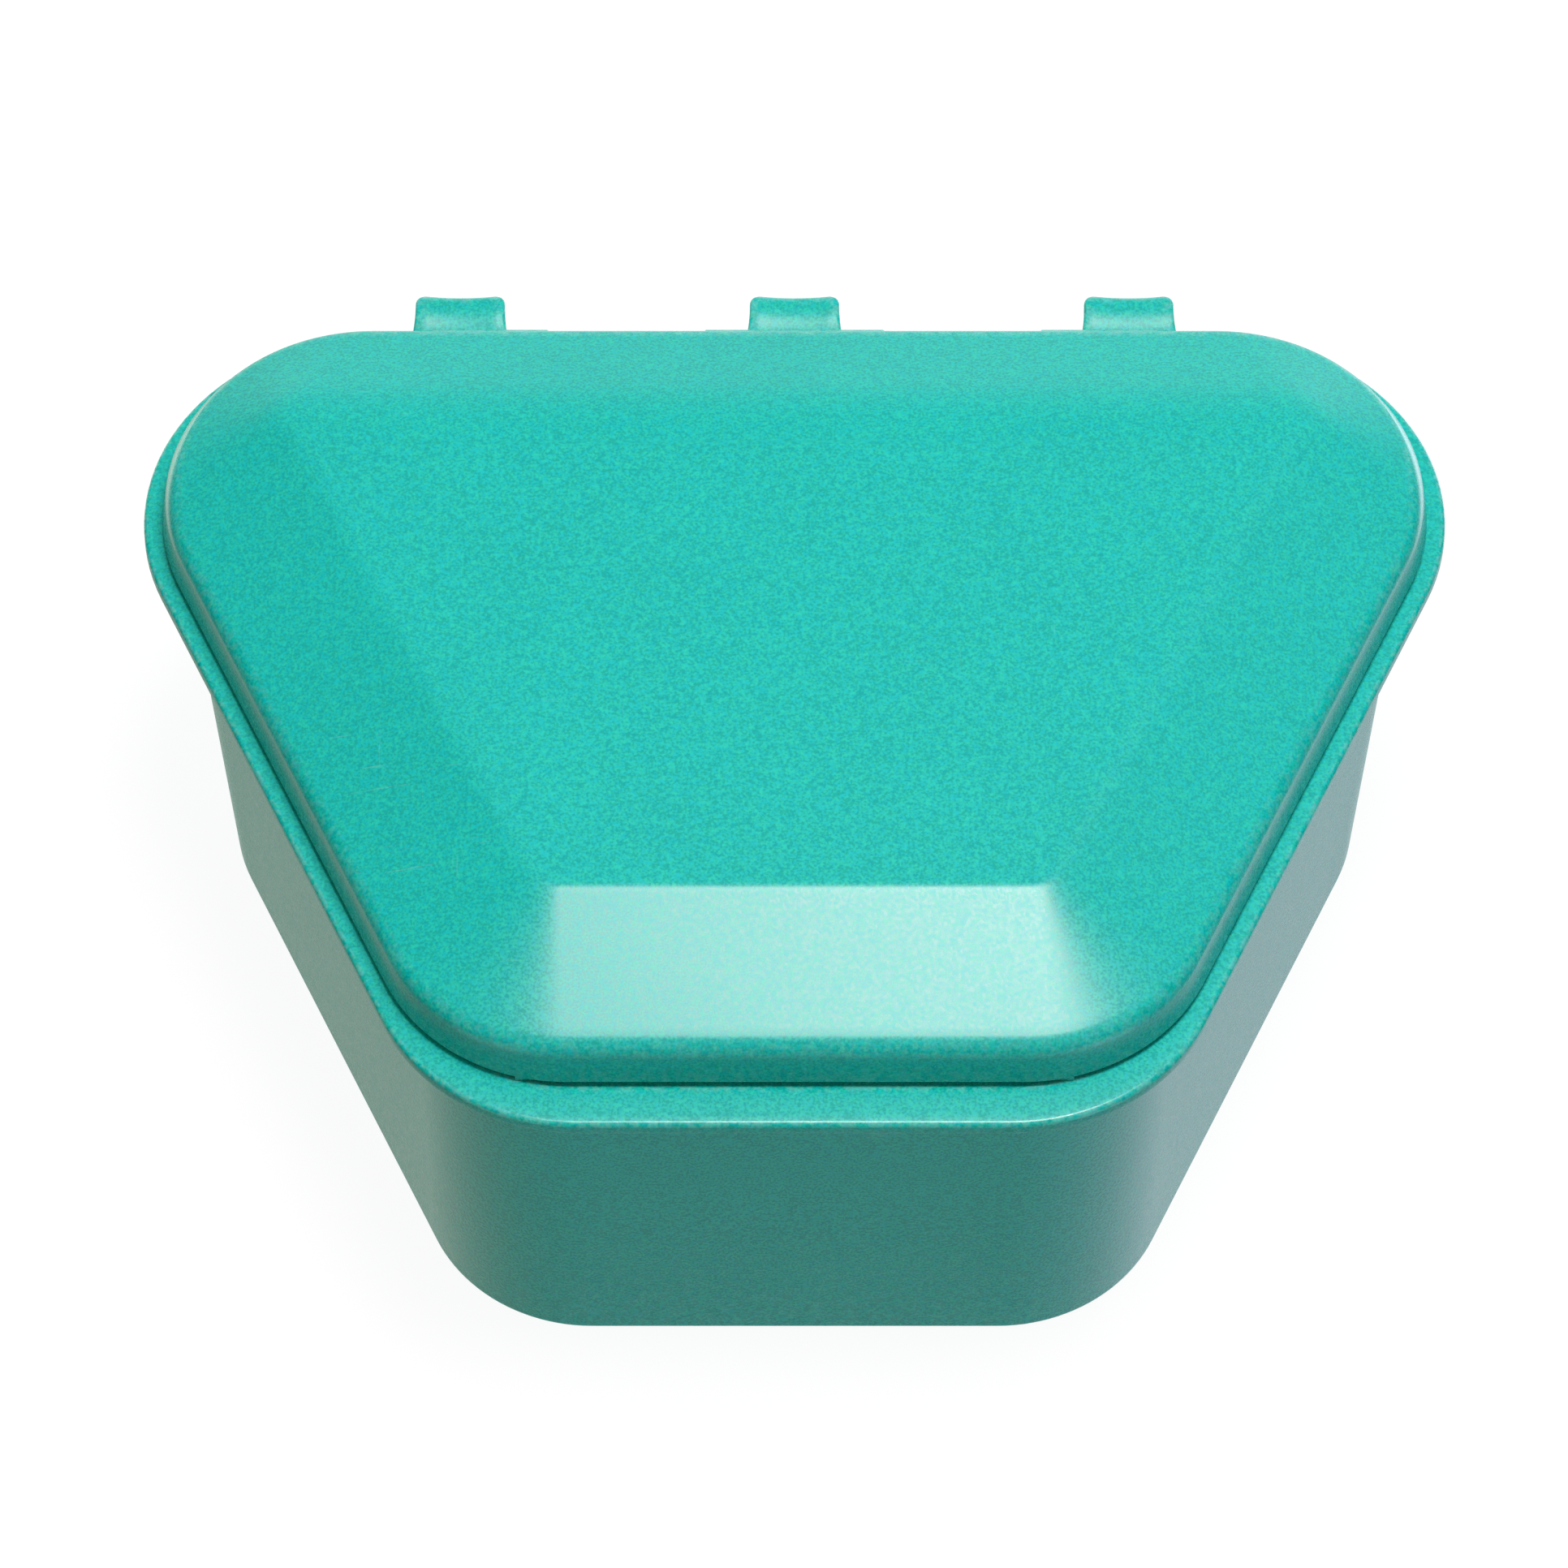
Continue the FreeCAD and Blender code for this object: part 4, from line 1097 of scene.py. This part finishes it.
def build_floor(studio):
    """A plain pale floor that gives back a little light by itself."""
    half = studio.floor_size / 2
    mesh = bmesh.new()
    corners = ((-half, -half), (half, -half), (half, half), (-half, half))
    mesh.faces.new([mesh.verts.new((x, y, 0)) for x, y in corners])
    data = bpy.data.meshes.new("floor")
    mesh.to_mesh(data)
    mesh.free()
    floor = bpy.data.objects.new("floor", data)
    bpy.context.scene.collection.objects.link(floor)
    material, _, shader, _ = node_tree("pale_floor")
    white = (1, 1, 1, 1)
    for name, value in (("Base Color", (*studio.floor_tone, 1)), ("Roughness", 0.9),
                        ("Specular IOR Level", 0), ("Emission Color", white),
                        ("Emission Strength", studio.floor_glow)):
        shader.inputs[name].default_value = value
    data.materials.append(material)
    floor.visible_glossy = False
    floor.visible_diffuse = False


def build_sky(studio):
    """Soft surroundings: dimmer overhead and in front, white behind and beside."""
    world = bpy.data.worlds.new("studio")
    bpy.context.scene.world = world
    world.use_nodes = True
    tree = world.node_tree
    background = tree.nodes["Background"]
    add = node_adder(tree)
    direction = add("ShaderNodeTexCoord").outputs["Generated"]
    axes = add("ShaderNodeSeparateXYZ", [("Vector", direction)])
    height = axes.outputs["Z"]
    ahead = remap(add, height, *SKYWARD, studio.front, studio.front_sky)
    around = between(add, remap(add, axes.outputs["Y"], *REARWARD), ahead, studio.horizon)
    level = between(add, remap(add, height, *OVERHEAD), around, studio.sky)

    # the ground is dim close by and bright further off, most of all to the sides
    sideward = arithmetic(add, "ABSOLUTE", axes.outputs["X"], 0)
    outward = remap(add, height, *OUTWARD)
    far = between(add, remap(add, sideward, *SIDEWARD), studio.far_ground, studio.side_ground)
    ground = between(add, outward, studio.near_ground, far)
    ground = between(add, remap(add, height, *GROUND_END), ground, 1)
    level = arithmetic(add, "MULTIPLY", level, ground)

    # straight to the left and right it is dark, apart from the ground close by
    beside = arithmetic(add, "MULTIPLY", remap(add, sideward, *FLANKS), outward)
    dimming = arithmetic(add, "MULTIPLY", beside, studio.side_dimming)
    level = arithmetic(add, "MULTIPLY", level, arithmetic(add, "SUBTRACT", 1, dimming))
    across = remap(add, axes.outputs["X"], *LEFT_TO_RIGHT, studio.left, studio.right)
    tree.links.new(arithmetic(add, "MULTIPLY", level, across), background.inputs["Strength"])
    side = remap(add, axes.outputs["X"], *TINTING)
    tint = blend_colours(add, side, studio.left_tint, studio.right_tint)
    tree.links.new(tint, background.inputs["Color"])


def build_lights(studio):
    """A compact softbox straight overhead."""
    light = bpy.data.lights.new("softbox", "AREA")
    light.shape = "SQUARE"
    light.size = studio.softbox
    light.energy = studio.softbox_power
    light.color = studio.softbox_tint
    lamp = bpy.data.objects.new("softbox", light)
    middle = rim_middle(bpy.context.scene.hopper_trough)
    lamp.location = (studio.softbox_side, middle, studio.softbox_rise)
    bpy.context.scene.collection.objects.link(lamp)


def build_camera(studio):
    """The camera in front, looking down on the lid."""
    trough = bpy.context.scene.hopper_trough
    data = bpy.data.cameras.new("camera")
    data.lens = studio.lens
    data.sensor_width = SENSOR_WIDTH
    data.shift_x = -studio.shift
    data.shift_y = studio.shift
    camera = bpy.data.objects.new("camera", data)
    back = Vector((0, -math.cos(studio.elevation), math.sin(studio.elevation)))
    aim = Vector((0, rim_middle(trough) - studio.aim, trough.rim_height))
    camera.location = aim + back * studio.distance
    camera.rotation_mode = "QUATERNION"
    camera.rotation_quaternion = (-back).to_track_quat("-Z", "Y")
    bpy.context.scene.collection.objects.link(camera)
    bpy.context.scene.camera = camera


# ---------------------------------------------------------------- operators

class HOPPER_OT_stage(bpy.types.Operator):
    """Set up the floor, the surroundings, the softbox and the camera"""

    bl_idname = "hopper.stage"
    bl_label = "Stage"

    def execute(self, context):
        studio = context.scene.hopper_studio
        build_floor(studio)
        build_sky(studio)
        build_lights(studio)
        build_camera(studio)
        context.scene.view_settings.view_transform = "Standard"
        return {"FINISHED"}


class HOPPER_OT_trough(bpy.types.Operator):
    """Build the trough's shell with its window and rails"""

    bl_idname = "hopper.trough"
    bl_label = "Trough"

    def execute(self, context):
        piece = build_trough()
        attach(piece, "trough")
        return {"FINISHED"}


class HOPPER_OT_ribs(bpy.types.Operator):
    """Set the two cage ribs on the rear wall"""

    bl_idname = "hopper.ribs"
    bl_label = "Cage ribs"

    def execute(self, context):
        trough = context.scene.hopper_trough
        piece = repeat_form("cage_ribs", rib_form(), 2, 2 * trough.rib_place)
        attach(piece, "trough")
        return {"FINISHED"}


class HOPPER_OT_hooks(bpy.types.Operator):
    """Set the wire hooks on the rim's rear edge"""

    bl_idname = "hopper.hooks"
    bl_label = "Wire hooks"

    def execute(self, context):
        hooks = context.scene.hopper_hooks
        piece = repeat_form("wire_hooks", hook_form(), hooks.count, hooks.pitch)
        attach(piece, "trough")
        return {"FINISHED"}


class HOPPER_OT_lugs(bpy.types.Operator):
    """Set the hinge lugs on the rim"""

    bl_idname = "hopper.lugs"
    bl_label = "Hinge lugs"

    def execute(self, context):
        hooks = context.scene.hopper_hooks
        piece = repeat_form("hinge_lugs", lug_form(), hooks.count, hooks.pitch)
        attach(piece, "trough")
        return {"FINISHED"}


class HOPPER_OT_lid(bpy.types.Operator):
    """Build the hipped lid"""

    bl_idname = "hopper.lid"
    bl_label = "Lid"

    def execute(self, context):
        piece = build_lid()
        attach(piece, "lid")
        return {"FINISHED"}


class HOPPER_OT_knuckles(bpy.types.Operator):
    """Set the lid's four knuckles on the hinge rod"""

    bl_idname = "hopper.knuckles"
    bl_label = "Lid knuckles"

    def execute(self, context):
        hinge = context.scene.hopper_hinge
        pitch = context.scene.hopper_hooks.pitch
        beside = hinge.lug_width + hinge.knuckle_width + 2 * hinge.side_play
        piece = repeat_form("lid_knuckles", knuckle_form(), 2, pitch - beside, 2, pitch)
        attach(piece, "lid")
        return {"FINISHED"}


class HOPPER_OT_rod(bpy.types.Operator):
    """Give the hinge rod its zinc-plated finish"""

    bl_idname = "hopper.rod"
    bl_label = "Hinge rod"

    def execute(self, context):
        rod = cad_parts["hinge_rod"]
        material = zinc_wire()
        if not rod.material_slots:
            raise RuntimeError("the hinge rod has no material slot")
        for place in rod.material_slots:
            place.material = material
        return {"FINISHED"}


class HOPPER_OT_baffle(bpy.types.Operator):
    """Build the slide-in baffle"""

    bl_idname = "hopper.baffle"
    bl_label = "Feed baffle"

    def execute(self, context):
        piece = build_baffle()
        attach(piece, "trough")
        return {"FINISHED"}


OPERATORS = (HOPPER_OT_stage, HOPPER_OT_trough, HOPPER_OT_ribs, HOPPER_OT_hooks, HOPPER_OT_lugs,
             HOPPER_OT_lid, HOPPER_OT_knuckles, HOPPER_OT_rod, HOPPER_OT_baffle)


class HOPPER_PT_panel(bpy.types.Panel):
    """The hopper's steps in the sidebar"""

    bl_idname = "HOPPER_PT_panel"
    bl_label = "Feed Hopper"
    bl_space_type = "VIEW_3D"
    bl_region_type = "UI"
    bl_category = "Hopper"

    def draw(self, context):
        for step in OPERATORS:
            self.layout.operator(step.bl_idname)


def register():
    """Register the property groups, the operators and the panel."""
    for name, group in GROUPS.items():
        bpy.utils.register_class(group)
        setattr(bpy.types.Scene, name, PointerProperty(type=group))
    for item in (*OPERATORS, HOPPER_PT_panel):
        bpy.utils.register_class(item)


def unregister():
    """Take everything that register added away again."""
    for item in reversed((*OPERATORS, HOPPER_PT_panel)):
        bpy.utils.unregister_class(item)
    for name, group in GROUPS.items():
        delattr(bpy.types.Scene, name)
        bpy.utils.unregister_class(group)


def main():
    """Build every piece in order."""
    register()
    for step in OPERATORS:
        group, name = step.bl_idname.split(".")
        getattr(getattr(bpy.ops, group), name)()


if __name__ == "__main__":
    main()
